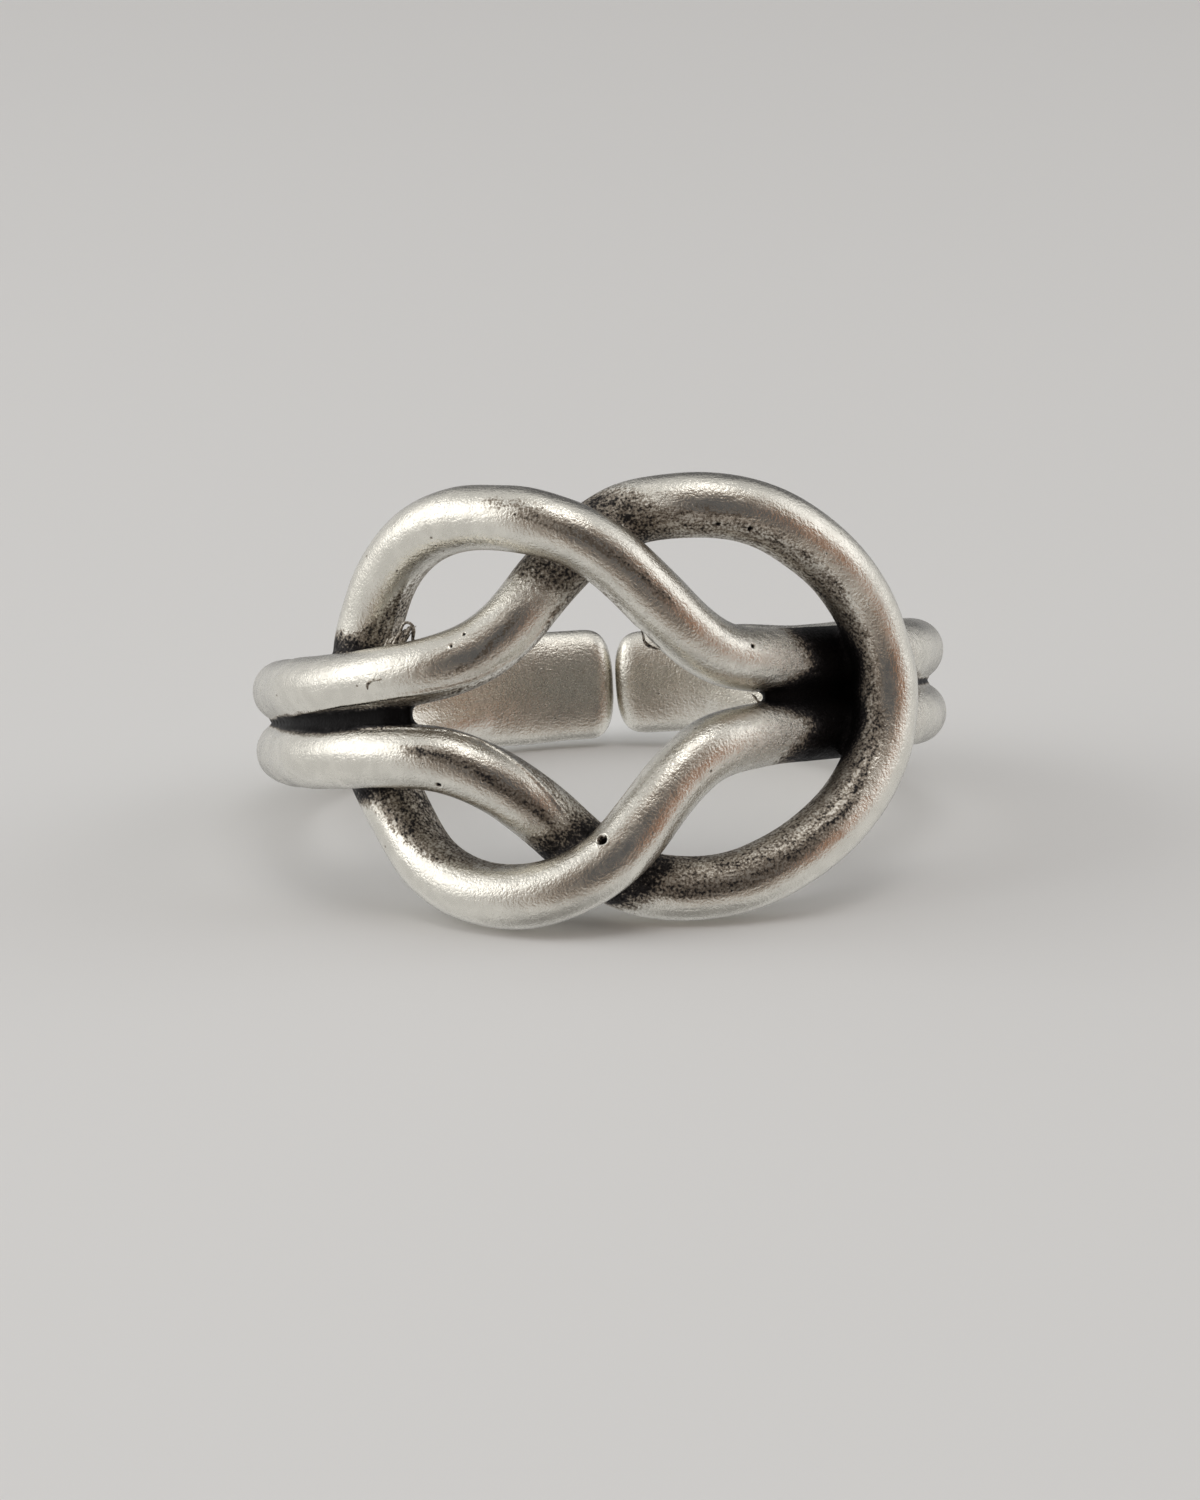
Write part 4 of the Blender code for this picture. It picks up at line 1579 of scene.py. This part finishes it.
def stage_floor(look):
    """A large disc: places at one radius, turned evenly round the middle."""
    turn = np.linspace(0.0, 2.0 * math.pi, FLOOR_SIDES, endpoint=False)
    rim = FLOOR_RADIUS * np.stack([np.cos(turn), np.sin(turn), np.zeros_like(turn)], axis=-1)
    places = np.concatenate([rim, np.zeros((1, 3))]) - np.array([0.0, 0.0, FLOOR_DROP])
    spot = np.arange(FLOOR_SIDES)
    middle = np.full(FLOOR_SIDES, FLOOR_SIDES)
    triangles = np.stack([spot, (spot + 1) % FLOOR_SIDES, middle], axis=-1)
    mesh = new_mesh("stage_floor", places, np.empty((0, 4), int), triangles)
    material = bpy.data.materials.new("pale_floor")
    material.use_nodes = True
    tree = material.node_tree
    shader = tree.nodes["Principled BSDF"]
    place = add_node(tree, "ShaderNodeTexCoord").outputs["Object"]
    tone = mapped(tree, noise(tree, place, *FLOOR_CLOUDS), *FLOOR_TONES)
    paint = (*look.floor, 1.0)
    shade = (*(FLOOR_DARKER * channel for channel in look.floor), 1.0)
    tree.links.new(mixed(tree, tone, paint, shade), shader.inputs["Base Color"])
    shader.inputs["Roughness"].default_value = FLOOR_ROUGHNESS
    shader.inputs["Specular IOR Level"].default_value = FLOOR_SPECULAR
    floor = add_object("stage_floor", mesh, material)
    floor.visible_glossy = False
    floor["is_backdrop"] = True


def towards(rise, turn):
    """Direction from the ring at a height angle, and an angle to the right of the front."""
    return Vector(
        (math.sin(turn) * math.cos(rise), -math.cos(turn) * math.cos(rise), math.sin(rise))
    )


def patch(tree, direction, rise, turn, inner, outer):
    """Share of a round patch of the dome: 1 within inner of its middle, 0 beyond outer."""
    middle = towards(math.radians(rise), math.radians(turn))
    facing = add_node(
        tree, "ShaderNodeVectorMath", {0: direction, 1: middle}, operation="DOT_PRODUCT"
    )
    rim = math.cos(math.radians(outer))
    return mapped(tree, facing.outputs["Value"], rim, math.cos(math.radians(inner)))


def light_dome(look):
    """Pale light from all round, brighter at the right, with dark walls in front and behind.

    The front wall's edge is brown, and warmest at the right. The dome shades off below, and
    low behind the ring, since the metal mirrors it there in place of the floor.
    """
    world = bpy.data.worlds.new("light_dome")
    bpy.context.scene.world = world
    world.use_nodes = True
    tree = world.node_tree
    ground = tree.nodes["Background"]
    direction = add_node(tree, "ShaderNodeTexCoord").outputs["Generated"]
    colour = (*look.dome, 1.0)
    for place, paint in (
        (RIGHT_PATCH, look.fill),
        (BACK_PATCH, look.shade),
        (BEHIND_PATCH, look.below),
        (BELOW_PATCH, look.below),
        (EDGE_PATCH, look.edge),
        (GLOW_PATCH, look.warmth),
        (WALL_PATCH, look.shade),
    ):
        colour = mixed(tree, patch(tree, direction, *place), colour, (*paint, 1.0))
    tree.links.new(colour, ground.inputs["Color"])


def soft_box(name, rise, turn, width, height, power):
    """An oblong soft box at a height angle and a turn to the right of the front."""
    data = bpy.data.lights.new(name, "AREA")
    data.shape = "RECTANGLE"
    data.size = width
    data.size_y = height
    data.energy = power
    box = bpy.data.objects.new(name, data)
    bpy.context.scene.collection.objects.link(box)
    direction = towards(math.radians(rise), math.radians(turn))
    facing = direction.to_track_quat("Z", "Y").to_matrix().to_4x4()
    box.matrix_world = Matrix.Translation(BOX_DISTANCE * direction) @ facing


def camera(look, middle):
    """A long lens at the photograph's angle to the ring."""
    data = bpy.data.cameras.new("camera")
    data.sensor_fit = "VERTICAL"
    data.sensor_height = SENSOR_HEIGHT
    data.lens = SENSOR_HEIGHT * PHOTO_FOCUS / PHOTO_HEIGHT
    data.clip_start = CLIP_START
    data.clip_end = CLIP_END
    item = bpy.data.objects.new("camera", data)
    bpy.context.scene.collection.objects.link(item)
    back = towards(look.rise, look.turn)
    level = Vector((math.cos(look.turn), math.sin(look.turn), 0.0))
    upright = back.cross(level)
    right = math.cos(look.roll) * level + math.sin(look.roll) * upright
    up = back.cross(right)
    aim = middle - FRAME_DROP * up
    axes = Matrix((right, up, back)).transposed().to_4x4()
    item.matrix_world = Matrix.Translation(aim + look.distance * back) @ axes
    bpy.context.scene.camera = item


class KNOTRING_OT_stage(Operator):
    """Lay a pale floor under the ring, light it softly and set up the camera"""

    bl_idname = "knot_ring.stage"
    bl_label = "Stage"
    bl_options = {"REGISTER", "UNDO"}

    def execute(self, context):
        look = context.scene.knot_ring_stage
        stage_floor(look)
        light_dome(look)
        soft_box("left_box", *LEFT_BOX, look.left_power)
        soft_box("top_box", *TOP_BOX, look.top_power)
        ring = ring_model(context.scene.knot_ring_sizes)
        camera(look, Vector(ring.shift))
        context.scene.view_settings.view_transform = "Standard"
        return {"FINISHED"}


class KNOTRING_PT_panel(Panel):
    """Lists the ring's pieces, sizes and finish"""

    bl_label = "Knot Ring"
    bl_idname = "KNOTRING_PT_panel"
    bl_space_type = "VIEW_3D"
    bl_region_type = "UI"
    bl_category = "Knot Ring"

    def draw(self, context):
        layout = self.layout
        for piece in PIECES:
            layout.operator(piece.bl_idname)
        for group in (
            context.scene.knot_ring_sizes,
            context.scene.knot_ring_finish,
            context.scene.knot_ring_stage,
        ):
            box = layout.box()
            for name in group.__annotations__:
                box.prop(group, name)


PIECES = (KNOTRING_OT_silver_knot, KNOTRING_OT_casting_flash, KNOTRING_OT_stage)
GROUPS = {
    "knot_ring_sizes": KnotRingSizes,
    "knot_ring_finish": KnotRingFinish,
    "knot_ring_stage": KnotRingStage,
}


def register():
    for group in GROUPS.values():
        bpy.utils.register_class(group)
    for name, group in GROUPS.items():
        setattr(bpy.types.Scene, name, PointerProperty(type=group))
    for piece in PIECES:
        bpy.utils.register_class(piece)
    bpy.utils.register_class(KNOTRING_PT_panel)


def unregister():
    bpy.utils.unregister_class(KNOTRING_PT_panel)
    for piece in reversed(PIECES):
        bpy.utils.unregister_class(piece)
    for name, group in GROUPS.items():
        delattr(bpy.types.Scene, name)
        bpy.utils.unregister_class(group)


def corners(box):
    return [list(corner) for corner in box]


def main():
    register()
    bpy.ops.knot_ring.silver_knot()
    bpy.ops.knot_ring.casting_flash()
    bpy.ops.knot_ring.stage()
    {"cad": corners(CAD_BOX), "visual": corners(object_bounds())}


if __name__ == "__main__":
    main()
